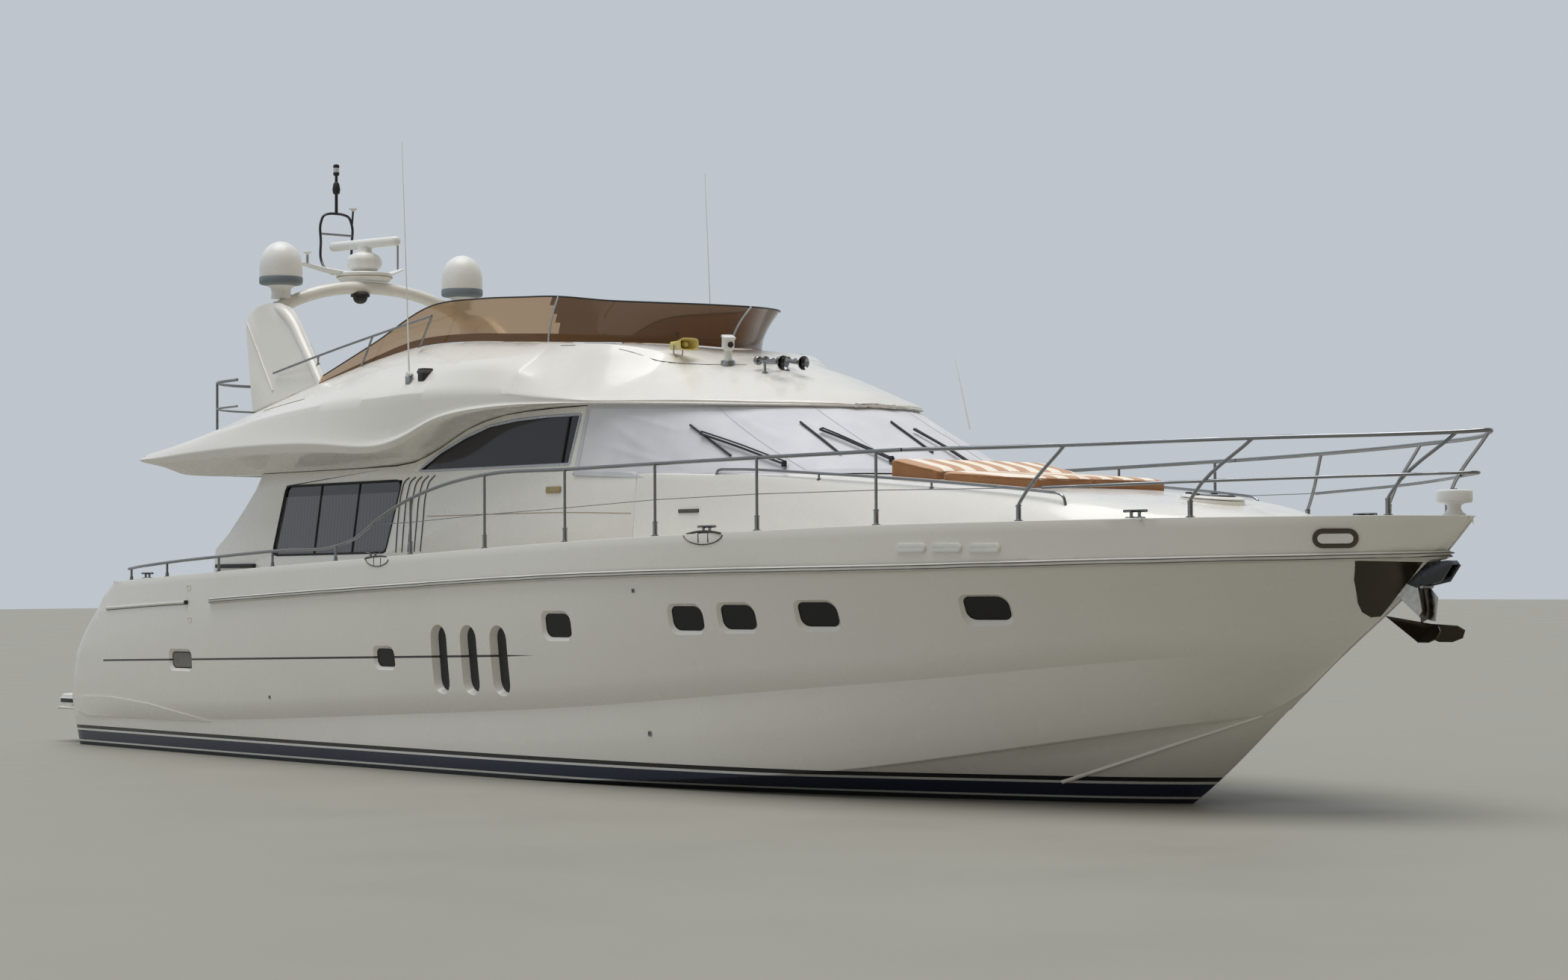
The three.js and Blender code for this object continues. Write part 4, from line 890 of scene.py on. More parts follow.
bowPlate = [(20.675, 2.225), (20.55, 2.06), (20.45, 1.86), (20.435, 1.78), (20.47, 1.735), (20.54, 1.742),
            (20.66, 1.845), (20.79, 1.965), (20.93, 2.088), (21.06, 2.21)]
sprayRail = [(17.45, 0.2), (18.067, 0.396), (18.571, 0.572), (18.995, 0.727), (19.3, 0.845)]
bustle = [(1.12, 0.45), (1.12, 0.6), (1.3, 0.64), (2.14, 0.65), (3.18, 0.592), (4.16, 0.48), (4.66, 0.42),
          (3.2, 0.4), (1.4, 0.39)]


def makeHullPatches():
    # the bow plate's darkened steel is painted dark reflection
    pair(patch(bowPlate, 0.004, steelPaintedDark, 0.04), "bow_plate")
    pair(patch(bustle, 0.014, gelcoat, 0.12), "quarter_bustle", degrees=50)
    line = [onHull(x, z)[0] for x, z in sprayRail]
    pair(tubes([(smoothPath(line), (0.022, 0.012))], gelcoat), "spray_rail")


makeRecesses()
makeWallFittings()
makeFairleads()
makeHullPatches()
print("hull and its fittings made")


# Rubbing strake

def bothSides(points):
    points = [tuple(p) for p in points]
    return [*points, *[(x, -y, z) for x, y, z in reversed(points[:-1])]]


strake = {"middle": [(4.9, 1.876), (8, 2.0), (12.2, 2.14), (15.1, 2.18), (18.1, 2.215), (21.3, 2.28)],
          "step": 0.27, "grooves": (0.3, 0.74), "grooveR": 0.0045, "nose": (21.276, 0, 2.275)}
sternStrip = [(1.98, 1.776), (3.1, 1.82), (4.246, 1.858)]


def makeStrake():
    piece = refine("rubbing_strake", "strake", "strake_rubber", strakeVinyl, levels=1, soft=20, hard=60)
    tree = surfaceTree(piece)
    runs = []
    for share in strake["grooves"]:
        line = []
        x = strake["middle"][0][0]
        while x < 21.1:
            rough = next(z0 + (z1 - z0) * (x - x0) / (x1 - x0)
                         for (x0, z0), (x1, z1) in zip(strake["middle"], strake["middle"][1:]) if x <= x1)
            hits = [rough + i * 0.004 for i in range(-30, 31)
                    if tree.ray_cast(Vector((x, -4, rough + i * 0.004)), Vector((0, 1, 0)))[0]]
            height = hits[0] + (hits[-1] - hits[0]) * share
            line.append(tree.ray_cast(Vector((x, -4, height)), Vector((0, 1, 0)))[0])
            x += strake["step"]
        nose = Vector(strake["nose"]) + Vector((share * 0.03, 0, (share - 0.5) * 0.06))
        runs.append((smoothPath(bothSides([*line, nose]), 2), strake["grooveR"]))
    dress(tubes(runs, grooveDark, 2), "strake_grooves")
    line = [onHull(x, z)[0] for x, z in sternStrip]
    made = [tubes([(smoothPath(line), 0.02)], strakeVinyl),
            tubes([([p - Vector((0, 0, 0.02)) for p in smoothPath(line)], 0.007)], grooveDark)]
    for x, z in (sternStrip[-1], (4.885, 1.872)):
        cap = block((-0.03, -0.024, -0.01), (0.03, 0.024, 0.03), rubber, 0.008)
        made.append(setOn(cap, *onHull(x, z)))
    pair(joined(made), "stern_strip")


makeStrake()


# Deckhouse and decks

browNose = {13.94: 3.965, 14.0: 3.914}  # x of the foremost sections: height of the crown


def lowerNose(obj):
    for vertex in obj.data.vertices:
        for x, crown in browNose.items():
            if abs(vertex.co.x - x) < 0.01 and abs(vertex.co.y) < 0.01:
                vertex.co.z = min(vertex.co.z, crown)


def makeMouldings():
    platform = refine("swim_platform", "bathing_platform", "gelcoat", gelcoat, levels=1, bevel=0.012, merge=0.002)
    paintFaces(platform, nonskid, lambda at, normal: normal.z > 0.95 and abs(at.y) < 2.0 and at.x > 0.12)
    refine("garage_door", "transom_door", "gelcoat", gelcoat, levels=0, bevel=0.012, body="garage_door")
    for side in ("starboard", "port"):
        refine("transom_gate_" + side, "stern_gate_" + side, "gelcoat", gelcoat, levels=0, bevel=0.012,
               body="gate_" + side)
        refine("deckhouse_side_" + side, "deckhouse_wall_" + side, "gelcoat", gelcoat, levels=0, bevel=0.01,
               merge=0.001)
    refine("after_bulkhead", "saloon_bulkhead", "gelcoat", gelcoat, levels=0, bevel=0.008)
    seams = [(0, 10.45), (0, 3.1), (0, 8.4), (1, -1.5), (1, 1.5)]
    look = {"merge": 0.003, "soft": 16, "hard": 34, "bevel": 0.012, "seams": seams}
    moulding = refine("flybridge", "flybridge_moulding", "gelcoat", gelcoat, **look)
    paintFaces(moulding, nonskid, lambda at, normal: normal.z > 0.97 and (at.z < 3.61 or abs(at.z - 4.08) < 0.01)
               and abs(at.y) < 1.6 and 3.0 < at.x < 10.45)
    brow = refine("flybridge_brow", "flybridge_brow_moulding", "gelcoat", gelcoat, reshape=lowerNose, **look)
    refine("flybridge_sole", "flybridge_sole_panel", "gelcoat", nonskid, levels=0, bevel=0.004, seams=seams)
    roof = refine("coachroof", "coachroof_moulding", "gelcoat", gelcoat, merge=0.002, soft=30, hard=50, bevel=0.008)
    return surfaceTree(moulding), surfaceTree(brow), surfaceTree(roof)


flyTree, browTree, roofTree = makeMouldings()
print("mouldings made")


def shadeLineOn(tree, points, radius=0.004, steps=8):
    # a fine dark line drawn along a surface, half sunk in it: painted shade along a crease
    line = [tree.find_nearest(p)[0] for p in smoothPath(points, steps)]
    return tubes([(line, radius)], grooveDark, 2)


# the crease lines on the flybridge side and the brow, drawn as painted shade
flyShadeLines = {
    "foot": [(5.39, -2.139, 4.166), (6.4, -2.194, 4.257)],
    "browLine": [(10.62, -1.52, 4.62), (11.4, -1.3, 4.5), (12.04, -1.13, 4.408), (12.59, -0.56, 4.384)],
}


def makeFlyShadeLines():
    pair(shadeLineOn(flyTree, flyShadeLines["foot"]), "arch_foot_shade_line")
    pair(shadeLineOn(browTree, flyShadeLines["browLine"]), "brow_shade_line")


makeFlyShadeLines()


def wallY(x, z):
    # half breadth of the deckhouse's outer face
    return 2.06 - (x - 4.06) * 0.02 - (z - 2.3) * 0.09


def wallPoint(x, z, out=0.0):
    return Vector((x, -wallY(x, z) - out, z))


for name in ("helm_window_starboard", "helm_window_port", "saloon_fixed_leaf", "windscreen", "saloon_door"):
    paint(nodes[name], darkGlass)
for name in ("saloon_window_starboard", "saloon_window_port"):
    paint(nodes[name], saloonGlass)

saloonWindow = [(5.385, 2.42), (7.79, 2.43), (8.03, 3.255), (5.59, 3.25)]
helmWindow = [(8.33, 3.35), (11.14, 3.34), (11.29, 3.865), (10.7, 3.872), (10.15, 3.855), (9.65, 3.81),
              (9.2, 3.7), (8.75, 3.55)]
windowTrim = {"gasket": 0.013, "mullion": 0.011, "saloonMullions": [6.28, 7.08], "corner": 0.09,
              "helmEdge": 0.017, "helmPost": ((10.99, 3.35), (11.08, 3.86))}


def makeWindowTrim():
    saloon = roundedLoop([(x, 0, z) for x, z in saloonWindow], windowTrim["corner"])
    gasket = tubes([([wallPoint(p.x, p.z, -0.004) for p in saloon], windowTrim["gasket"])], rubber, cyclic=True)
    bars = [([wallPoint(x, 2.425, -0.016), wallPoint(x + 0.07, 3.25, -0.016)], windowTrim["mullion"])
            for x in windowTrim["saloonMullions"]]
    pair(joined([gasket, tubes(bars, rubber)]), "saloon_window_rubber")
    helm = roundedLoop([(x, 0, z) for x, z in helmWindow], 0.02, 3)
    edge = tubes([([wallPoint(p.x, p.z, -0.002) for p in helm], windowTrim["helmEdge"])], aluminium, cyclic=True)
    post = tubes([([wallPoint(*p, -0.012) for p in windowTrim["helmPost"]], 0.013)], blackPlastic)
    pair(joined([edge, post]), "helm_window_frame")


# Styling grooves in the deckhouse side: the first and last, as x and z
grooveFirst = [(8.006, 2.428), (8.004, 2.8), (8.038, 3.125), (8.081, 3.233), (8.17, 3.278)]
grooveLast = [(8.493, 2.434), (8.504, 2.789), (8.517, 3.069), (8.573, 3.219), (8.675, 3.291)]
wallJoint = [(8.57, 2.83), (9.73, 2.83), (11.21, 2.82), (12.25, 2.79)]


def makeWallDetail():
    runs = []
    for i in range(5):
        share = i / 4
        line = [wallPoint(x0 + (x1 - x0) * share, z0 + (z1 - z0) * share)
                for (x0, z0), (x1, z1) in zip(grooveFirst, grooveLast)]
        runs.append((smoothPath(line), 0.009))
    made = [tubes(runs, grooveDark, 3), tubes([(smoothPath([wallPoint(*p) for p in wallJoint]), 0.004)], jointTan, 2)]
    bar = block((13.05, -1.868, 2.775), (13.37, -1.84, 2.815), grooveDark, 0.008)
    slot = block((4.13, -2.085, 2.275), (5.04, -2.035, 2.325), blackPlastic, 0.012)
    lamp = block((-0.13, -0.035, 0.0), (0.13, 0.035, 0.018), jointTan, 0.012)
    made += [bar, slot, setOn(lamp, wallPoint(10.9, 3.07), Vector((0, -1, 0.09)).normalized())]
    pair(joined(made), "deckhouse_detail")


makeWindowTrim()
makeWallDetail()


# Windscreen cover

screenFoot = [(11.25, -1.8, 3.29), (12.7, -1.735, 3.215), (13.9, -1.6, 3.18), (14.7, -1.2, 3.185),
              (15.0, -0.6, 3.185), (15.08, 0, 3.185)]
screenHead = [(11.4, -1.735, 3.95), (12.3, -1.57, 3.9), (13.0, -1.32, 3.88), (13.5, -1.0, 3.86),
              (13.8, -0.52, 3.855), (13.9, 0, 3.855)]
cover = {
    "steps": 20, "up": 30, "out": 0.04, "low": -0.12, "high": 1.03, "hem": 0.05, "ripple": 0.006,
    # folds: from and to, as share round from the starboard end and share of height; depth
    "folds": [((0.02, 0.95), (0.1, 0.25), 0.012), ((0.03, 0.98), (0.14, 0.6), 0.01), ((0.02, 0.5), (0.13, 0.1), 0.008),
              ((0.22, 0.95), (0.27, 0.4), 0.009), ((0.31, 0.9), (0.36, 0.3), 0.01), ((0.42, 0.95), (0.4, 0.5), 0.008),
              ((0.5, 0.6), (0.56, 0.15), 0.007), ((0.66, 0.9), (0.6, 0.35), 0.009), ((0.98, 0.95), (0.88, 0.3), 0.012)],
    "foldHalf": 0.012,
    "seams": [(0.2, 0.27), (0.37, 0.4), (0.6, 0.63), (0.73, 0.8)],  # share round at the head, and at the foot
}


def coverPoint(round, up, lift):
    # share of the way round from the starboard end, share of the height, and height over the cloth
    feet, heads = coverLines
    reach = round * (len(feet) - 1)
    i = min(int(reach), len(feet) - 2)
    foot = feet[i].lerp(feet[i + 1], reach - i)
    head = heads[i].lerp(heads[i + 1], reach - i)
    out = (feet[i + 1] - feet[i]).cross(head - foot).normalized()
    if out.dot(Vector((0.9, foot.y, 0.5))) < 0:
        out.negate()
    depth = cover["out"] + lift
    edge = min(1, round * 25, (1 - round) * 25, up * 8, (1 - up) * 8)
    depth += edge * cover["ripple"] * noise.noise(Vector((round * 22, up * 3, 1.7)))
    for (r0, u0), (r1, u1), size in cover["folds"]:
        along = max(0, min(1, (u0 - up) / (u0 - u1)))
        off = (round - r0 - (r1 - r0) * along) / cover["foldHalf"]
        ends = math.sin(math.pi * along) if 0 < along < 1 else 0
        depth += edge * size * ends * math.exp(-off * off)
    return foot.lerp(head, cover["low"] + (cover["high"] - cover["low"]) * up) + out * depth


coverLines = [smoothPath(bothSides(rows), cover["steps"]) for rows in (screenFoot, screenHead)]


def coverSheet(rounds, ups, lift, material):
    points = [coverPoint(r, u, lift) for r in rounds for u in ups]
    high = len(ups)
    faces = [(a, a + high, a + high + 1, a + 1) for i in range(len(rounds) - 1)
             for a in range(i * high, i * high + high - 1)]
    return paint(newMesh("cloth", points, faces), material)


def shares(low, high, count):
    return [low + (high - low) * i / count for i in range(count + 1)]


def makeCover():
    width = sum((b - a).length for a, b in zip(coverLines[0], coverLines[0][1:]))
    obj = coverSheet(shares(0, 1, 300), shares(0, 1, cover["up"]), 0, coverCloth)
    tree = surfaceTree(obj)
    dress(obj, "screen_cover", degrees=80)
    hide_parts("windscreen_cover")
    hem = cover["hem"] / width
    strips = [coverSheet(shares(0, 1, 300), shares(low, high, 2), 0.003, coverHem)
              for low, high in ((0, 0.06), (0.94, 1))]
    strips += [coverSheet(shares(low, high, 2), shares(0, 1, cover["up"]), 0.003, coverHem)
               for low, high in ((0, hem), (1 - hem, 1))]
    for head, foot in cover["seams"]:
        points, high = [], cover["up"] + 1
        for side in (-0.001, 0.001):
            points += [coverPoint(foot + (head - foot) * up + side, up, 0.003) for up in shares(0, 1, cover["up"])]
        faces = [(i, i + 1, high + i + 1, high + i) for i in range(high - 1)]
        strips.append(paint(newMesh("cloth", points, faces), coverHem))
    trim = dress(joined(strips), "screen_cover_hem", degrees=80)
    return tree


coverTree = makeCover()

# Wipers lying on the cover: blade's ends, arm's two ends
wipers = [
    [(12.9, -1.573, 3.685), (13.609, -1.612, 3.336), (13.107, -1.593, 3.576), (14.29, -1.47, 3.2)],
    [(13.971, -1.005, 3.678), (14.629, -1.045, 3.336), (14.219, -0.961, 3.571), (14.93, -0.66, 3.2)],
    [(14.261, -0.028, 3.702), (14.854, 0.001, 3.366), (14.444, 0.104, 3.59), (15.1, 0.32, 3.2)],
]
wiperLook = {"blade": 0.013, "arm": 0.012, "gap": 0.04, "bladeLift": 0.016, "armLift": 0.042}


def overCover(start, end, lift):
    # a straight run laid over the cloth
    line = []
    for share in shares(0, 1, 6):
        place, normal, _, _ = coverTree.find_nearest(start.lerp(end, share))
        line.append(place + (normal if normal.x > 0 or normal.y < -0.5 else -normal) * lift)
    return line


def makeWipers():
    made = []
    for places in wipers:
        bladeLow, bladeHigh, tip, pivot = [Vector(p) for p in places]
        aside = Vector((0.05, 0.9, 0.2)) * wiperLook["gap"]
        arm = overCover(tip, pivot, wiperLook["armLift"])
        rod = overCover(tip + aside, pivot + aside, wiperLook["armLift"])
        pivot = arm[-1]
        runs = [(overCover(bladeLow, bladeHigh, wiperLook["bladeLift"]), wiperLook["blade"]),
                (arm, wiperLook["arm"]), (rod, wiperLook["arm"] * 0.7), ([arm[0], rod[0]], wiperLook["arm"])]
        made += [tubes(runs, blackPlastic, 2),
                 turned([(0, -0.03), (0.028, -0.03), (0.028, 0.02), (0.02, 0.035), (0, 0.035)], blackPlastic, 16, pivot)]
    dress(joined(made), "wipers")


makeWipers()
print("windows and cover made")


# Flybridge screen

bridgeScreen = {
    "foot": [(6.05, -1.772), (7.0, -1.7), (7.95, -1.627), (9.0, -1.572), (9.8, -1.525), (10.25, -1.45),
             (10.7, -1.2), (11.1, -0.9), (11.43, -0.5), (11.64, 0)],
    "head": [(6.12, -1.76, 4.56), (7.15, -1.70, 4.89), (8.27, -1.65, 5.25), (9.2, -1.62, 5.265),
             (9.95, -1.58, 5.23), (10.5, -1.5, 5.2), (11.05, -1.2, 5.13), (11.42, -0.9, 5.10),
             (11.78, -0.5, 5.075), (11.98, 0, 5.06)],
    "steps": 8, "rows": 16, "bow": 1.8, "thick": 0.008, "band": 0.14, "trim": 0.009, "strip": 0.013, "frontX": 10.4,
}


def flyTop(x, y):
    hits = [tree.ray_cast(Vector((x, y, 6)), Vector((0, 0, -1)))[0] for tree in (flyTree, browTree)]
    return max(hit.z for hit in hits if hit)


def makeBridgeScreen():
    foot = [(x, y, flyTop(x, y) + 0.012) for x, y in bridgeScreen["foot"]]
    feet = smoothPath(bothSides(foot), bridgeScreen["steps"])
    heads = smoothPath(bothSides(bridgeScreen["head"]), bridgeScreen["steps"])
    rows = bridgeScreen["rows"]

    def place(foot, head, up):
        out = up ** bridgeScreen["bow"]
        return Vector((foot.x + (head.x - foot.x) * out, foot.y + (head.y - foot.y) * out, foot.z + (head.z - foot.z) * up))

    points = [place(f, h, i / rows) for f, h in zip(feet, heads) for i in range(rows + 1)]
    faces = [(a, a + 1, a + rows + 2, a + rows + 1) for i in range(len(feet) - 1)
             for a in range(i * (rows + 1), i * (rows + 1) + rows)]
    pane = paint(newMesh("screen", points, faces), bronzeAcrylic, bronzeFrontShaded, bronzeBand)
    for i, face in enumerate(pane.data.polygons):
        # the front panes take the darker copy of the acrylic: painted shade
        face.material_index = 1 if face.center.x > bridgeScreen["frontX"] else 0
        if (i % rows) / rows < bridgeScreen["band"]:
            face.material_index = 2
    modify(pane, "SOLIDIFY", thickness=bridgeScreen["thick"], offset=0)
    dress(pane, "bridge_screen", degrees=40)
    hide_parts("flybridge_screen")
    trim = [tubes([(heads, bridgeScreen["trim"])], blackPlastic, 2)]
    steps = bridgeScreen["steps"]
    for index in (5 * steps, 9 * steps, len(feet) - 1 - 5 * steps):
        line = [place(feet[index], heads[index], i / 8) for i in range(9)]
        trim.append(tubes([([p + Vector((0.012, 0, 0)) for p in line], bridgeScreen["strip"])], aluminium, 2))
    dress(joined(trim), "bridge_screen_trim")


bridgeRail = {"top": [(5.05, 4.65), (6.08, 4.80), (7.27, 4.96), (8.50, 5.11)], "y": -1.8, "radius": 0.014,
              "posts": [((8.50, 5.11), (8.21, 4.78)), ((7.27, 4.96), (7.0, 4.65)), ((6.08, 4.80), (6.02, 4.7))]}


def makeBridgeRail():
    y = bridgeRail["y"]
    runs = [(smoothPath([(x, y, z) for x, z in bridgeRail["top"]]), bridgeRail["radius"])]
    feet = []
    for (x, z), (footX, footZ) in bridgeRail["posts"]:
        runs.append(([(x, y, z), (footX, y + 0.03, footZ)], bridgeRail["radius"] - 0.002))
        base = turned([(0, 0), (0.03, 0), (0.03, 0.006), (0.016, 0.014), (0, 0.014)], steel, 16,
                      (footX, y + 0.035, footZ), (-0.1, -0.6, 0.8))
        feet.append(base)
    pair(joined([tubes(runs, steel), *feet]), "bridge_handrail")


makeBridgeScreen()
makeBridgeRail()


# Arch, domes, radar and mast

archEdge = [(4.5, -1.2, 5.62), (4.52, -1.42, 5.51), (4.8, -1.53, 5.46), (5.06, -1.56, 5.32), (5.4, -1.6, 5.0),
            (5.76, -1.65, 4.64), (5.95, -1.68, 4.44)]
archLook = {"edge": (0.082, 0.05), "rib": [(4.198, -1.668, 5.338), (5.043, -1.808, 4.439)], "ribR": 0.012}


def makeArch():
    refine("radar_arch", "arch_moulding", "gelcoat", gelcoat, soft=30, hard=60, bevel=0.015, merge=0.002)
    edge = tubes([(smoothPath(archEdge), archLook["edge"])], gelcoat, 6)
    rib = tubes([(archLook["rib"], archLook["ribR"])], gelcoat)
    pair(joined([edge, rib]), "arch_edge")


domeAt = (4.5, -1.36, 5.72)
domeNeck = [(0, -0.09), (0.125, -0.09), (0.118, -0.03), (0.122, 0.02), (0.14, 0.05), (0.17, 0.062), (0.17, 0.08)]
domeBase = [(0.15, 0.07), (0.2, 0.076), (0.252, 0.084), (0.266, 0.096), (0.27, 0.12), (0.27, 0.168), (0.262, 0.178)]
domeShell = [(0.262, 0.176), (0.265, 0.22), (0.265, 0.3), (0.26, 0.36), (0.247, 0.42), (0.224, 0.48), (0.19, 0.53),
             (0.145, 0.573), (0.09, 0.604), (0.045, 0.618), (0, 0.622)]


def makeDome():
    parts = [turned(domeNeck, radome, 40, domeAt), turned(domeBase, radomeGrey, 48, domeAt),
             turned(domeShell, radome, 48, domeAt)]
    x, y, z = domeAt
    socket = [(0, 0), (0.026, 0), (0.026, 0.02), (0.014, 0.022), (0.012, 0.01), (0, 0.01)]
    parts.append(turned(socket, blackPlastic, 16, (x + 0.045, y - 0.045, z + 0.005), (1, -1, 0)))
    starboard, port = pair(joined(parts), "dome", degrees=40)
    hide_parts("satellite_dome_starboard")
    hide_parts("satellite_dome_port")


radarX = 4.29
radarDrum = [(0, -0.05), (0.31, -0.05), (0.345, -0.01), (0.355, 0.0), (0.355, 0.045), (0.34, 0.056), (0.2, 0.07),
             (0, 0.07)]
radarBox = [(0, 0.05), (0.14, 0.05), (0.15, 0.085), (0.2, 0.12), (0.225, 0.17), (0.225, 0.235), (0.2, 0.285),
            (0.14, 0.31), (0.1, 0.325), (0.095, 0.385), (0, 0.385)]
radarArm = [(0.16, 0.0, 6.02, 0.17, 0.03), (0.3, -0.08, 6.035, 0.15, 0.03), (0.5, -0.18, 6.08, 0.11, 0.026),
            (0.68, -0.28, 6.135, 0.08, 0.022), (0.78, -0.33, 6.165, 0.05, 0.014)]  # y, x, z, half chord, half depth
scannerTurn = 0.23  # radians, at rest


def makeRadar():
    at = (radarX, 0, 5.985)
    drum = turned(radarDrum, radome, 48, at)
    joint = turned([(0.352, -0.004), (0.3585, 0), (0.3585, 0.006), (0.352, 0.01)], jointTan, 48, at)
    gearbox = turned(radarBox, radome, 12, at)
    modify(gearbox, "BEVEL", width=0.008, segments=2, limit_method="ANGLE", angle_limit=math.radians(20))
    parts = [drum, joint, gearbox]
    for side in (-1, 1):
        rings = [[(radarX + x + chord * math.cos(a), side * y, z + depth * math.sin(a))
                  for a in [2 * math.pi * i / 20 for i in range(20)]] for y, x, z, chord, depth in radarArm]
        parts.append(lofted(rings, radome))
    stub = [([(3.96, 0.72, 6.15), (3.96, 0.72, 6.5)], 0.013), ([(4.08, -0.72, 6.15), (4.08, -0.72, 6.26)], 0.016)]
    parts += [tubes(stub, satinSteel), mushroom((4.08, -0.72, 6.25))]
    dress(joined(parts), "radar_platform", degrees=25)
    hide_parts("radar_pedestal")
    bar = block((-0.6, -0.064, 6.362), (0.6, 0.064, 6.482), radome, 0.054, 6)
    hub = turned([(0, 6.325), (0.06, 6.325), (0.095, 6.35), (0.095, 6.385), (0, 6.385)], radome, 24)
    scanner = joined([bar, hub])
    scanner.data.transform(Matrix.Translation((radarX, 0, 0)) @ Matrix.Rotation(scannerTurn, 4, "Z"))
    dress(scanner, "scanner_bar", "scanner", 40)
    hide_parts("radar_scanner")


def mushroom(at):
    profile = [(0, 0), (0.018, 0), (0.02, 0.012), (0.045, 0.026), (0.055, 0.036), (0.05, 0.048), (0, 0.056)]
    return turned(profile, radome, 20, at)


mast = {
    "x": 3.62, "half": 0.235, "radius": 0.017,
    "pole": [(0, 6.87), (0.021, 6.87), (0.02, 7.12), (0.045, 7.14), (0.052, 7.19), (0.04, 7.26), (0.02, 7.29),
             (0.018, 7.36), (0.04, 7.38), (0.04, 7.41), (0, 7.41)],
    "lens": [(0, 7.408), (0.036, 7.408), (0.038, 7.43), (0.036, 7.475), (0, 7.475)],
    "cap": [(0, 7.472), (0.04, 7.472), (0.04, 7.505), (0.02, 7.518), (0, 7.52)],
}


def makeMast():
    x, half, radius = mast["x"], mast["half"], mast["radius"]
    hoop = [(4.0, -0.2, 6.04), (3.8, -half, 6.09), (x, -half, 6.27), (x, -half, 6.5), (x, -half, 6.74),
            (x, -half + 0.05, 6.84), (x, -half + 0.14, 6.868), (x, 0, 6.872)]
    runs = [(smoothPath(bothSides(hoop), 6), radius), ([(x, -half, 6.6), (x, half, 6.6)], radius - 0.003),
            ([(x, half, 6.7), (x, half + 0.02, 6.93)], radius - 0.004)]
    parts = [tubes(runs[:1] + runs[2:], darkSteel), tubes(runs[1:2], steel), mushroom((x, half + 0.02, 6.92))]
    parts += [turned(mast["pole"], blackPlastic, 20, (x, 0, 0)), turned(mast["lens"], lampGlass, 20, (x, 0, 0)),
              turned(mast["cap"], blackPlastic, 20, (x, 0, 0))]
    dress(joined(parts), "mast_frame")
    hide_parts("light_mast")


def makeCameraDome():
    profile = [(0, -0.13), (0.04, -0.124), (0.075, -0.1), (0.092, -0.06), (0.094, -0.045), (0.12, -0.04),
               (0.122, -0.008), (0.1, 0.01), (0, 0.01)]
    dress(turned(profile, blackPlastic, 32, (4.5, -0.2, 5.755)), "camera_dome")


whips = [[(8.64, -2.2, 4.36), (8.6, -2.2, 5.2), (8.5, -2.2, 7.06)], [(8.64, 2.2, 4.36), (8.6, 2.2, 5.2), (8.5, 2.2, 7.06)],
         [(13.64, 1.7, 3.71), (13.4, 1.7, 4.53)]]


def makeWhips():
    # whip aerials on ratchet feet, and the navigation lamp box beside them
    parts = [tubes([(smoothPath(line), (0.011, 0.003))], radome, 2) for line in whips]
    foot = block((8.58, -2.225, 4.3), (8.68, -2.16, 4.42), satinSteel, 0.02)
    knuckle = turned([(0, -0.04), (0.028, -0.04), (0.03, 0.03), (0, 0.035)], radome, 16, (8.64, -2.2, 4.42), (0, -1, 0))
    case = block((8.8, -2.2, 4.33), (8.92, -2.06, 4.48), blackPlastic, 0.015)
    cap = block((8.79, -2.205, 4.42), (8.93, -2.055, 4.46), grooveDark, 0.012)
    starboard = joined([foot, knuckle, case, cap])
    pair(starboard, "aerial_foot")
    dress(joined(parts), "whip_aerials")


makeArch()
makeDome()
makeRadar()
makeMast()
makeCameraDome()
makeWhips()
print("arch and aerials made")


# Rails

railR = 0.019
raked = [(20.94, 0.41, 2.612, 21.52, 0.215, 3.305), (19.55, 1.365, 2.612, 20.085, 1.15, 3.285),
         (18.07, 1.985, 2.603, 18.43, 1.76, 3.27)]
upright = [(16.57, 2.335), (15.07, 2.51), (13.59, 2.585), (12.13, 2.615), (10.69, 2.61), (9.26, 2.6)]
pulpitAftX = 16.9
guardWire = [(8.47, -2.595, 2.73), (9.26, -2.6, 2.745), (10.69, -2.61, 2.8), (12.13, -2.615, 2.84),
             (13.59, -2.585, 2.89), (15.07, -2.51, 2.91), (16.57, -2.335, 2.91), (18.28, -1.87, 2.895)]
sleeve = [(0, 0), (0.042, 0), (0.042, 0.006), (0.025, 0.014), (0.0235, 0.02), (0.0235, 0.128), (0.027, 0.131),
          (0.027, 0.143), (0.02, 0.147), (0, 0.147)]
shortSleeve = [(0, 0), (0.036, 0), (0.036, 0.005), (0.022, 0.012), (0.021, 0.05), (0, 0.052)]


def railTopZ(x):
    return 3.235 + (x - 12) * 0.0075 if x > 9 else 3.19


def deckEdgeZ(x, y):
    place = hullTree.ray_cast(Vector((x, y, 9)), Vector((0, 0, -1)))[0]
    return place.z if place else 2.6


def makePulpit():
    sidePoints = [(x, -y, z) for _, _, _, x, y, z in reversed(raked)]
    top = [(pulpitAftX, -2.3, railTopZ(pulpitAftX)), *sidePoints, (21.69, 0, 3.318)]
    mid = [(18.26, -1.88, 2.895), (19.8, -1.26, 2.925), (21.18, -0.33, 2.955), (21.56, 0, 2.965)]
    runs = [(smoothPath(bothSides(rail)), radius) for rail, radius in ((top, railR), (mid, railR - 0.005))]
    bases = []
    for x, y, _, tx, ty, tz in raked:
        for side in (-1, 1):
            z = deckEdgeZ(x, side * y)
            post = [(x, side * y, z), (x, side * y, z + 0.14), (x + 0.035, side * (y - 0.01), z + 0.2),
                    (tx, side * ty, tz)]
            runs.append((smoothPath(post, 6), railR - 0.003))
            bases.append(turned(sleeve, steel, 16, (x, side * y, z)))
    obj = dress(joined([tubes(runs, steel), *bases]), "bow_rail")
    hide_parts("pulpit")


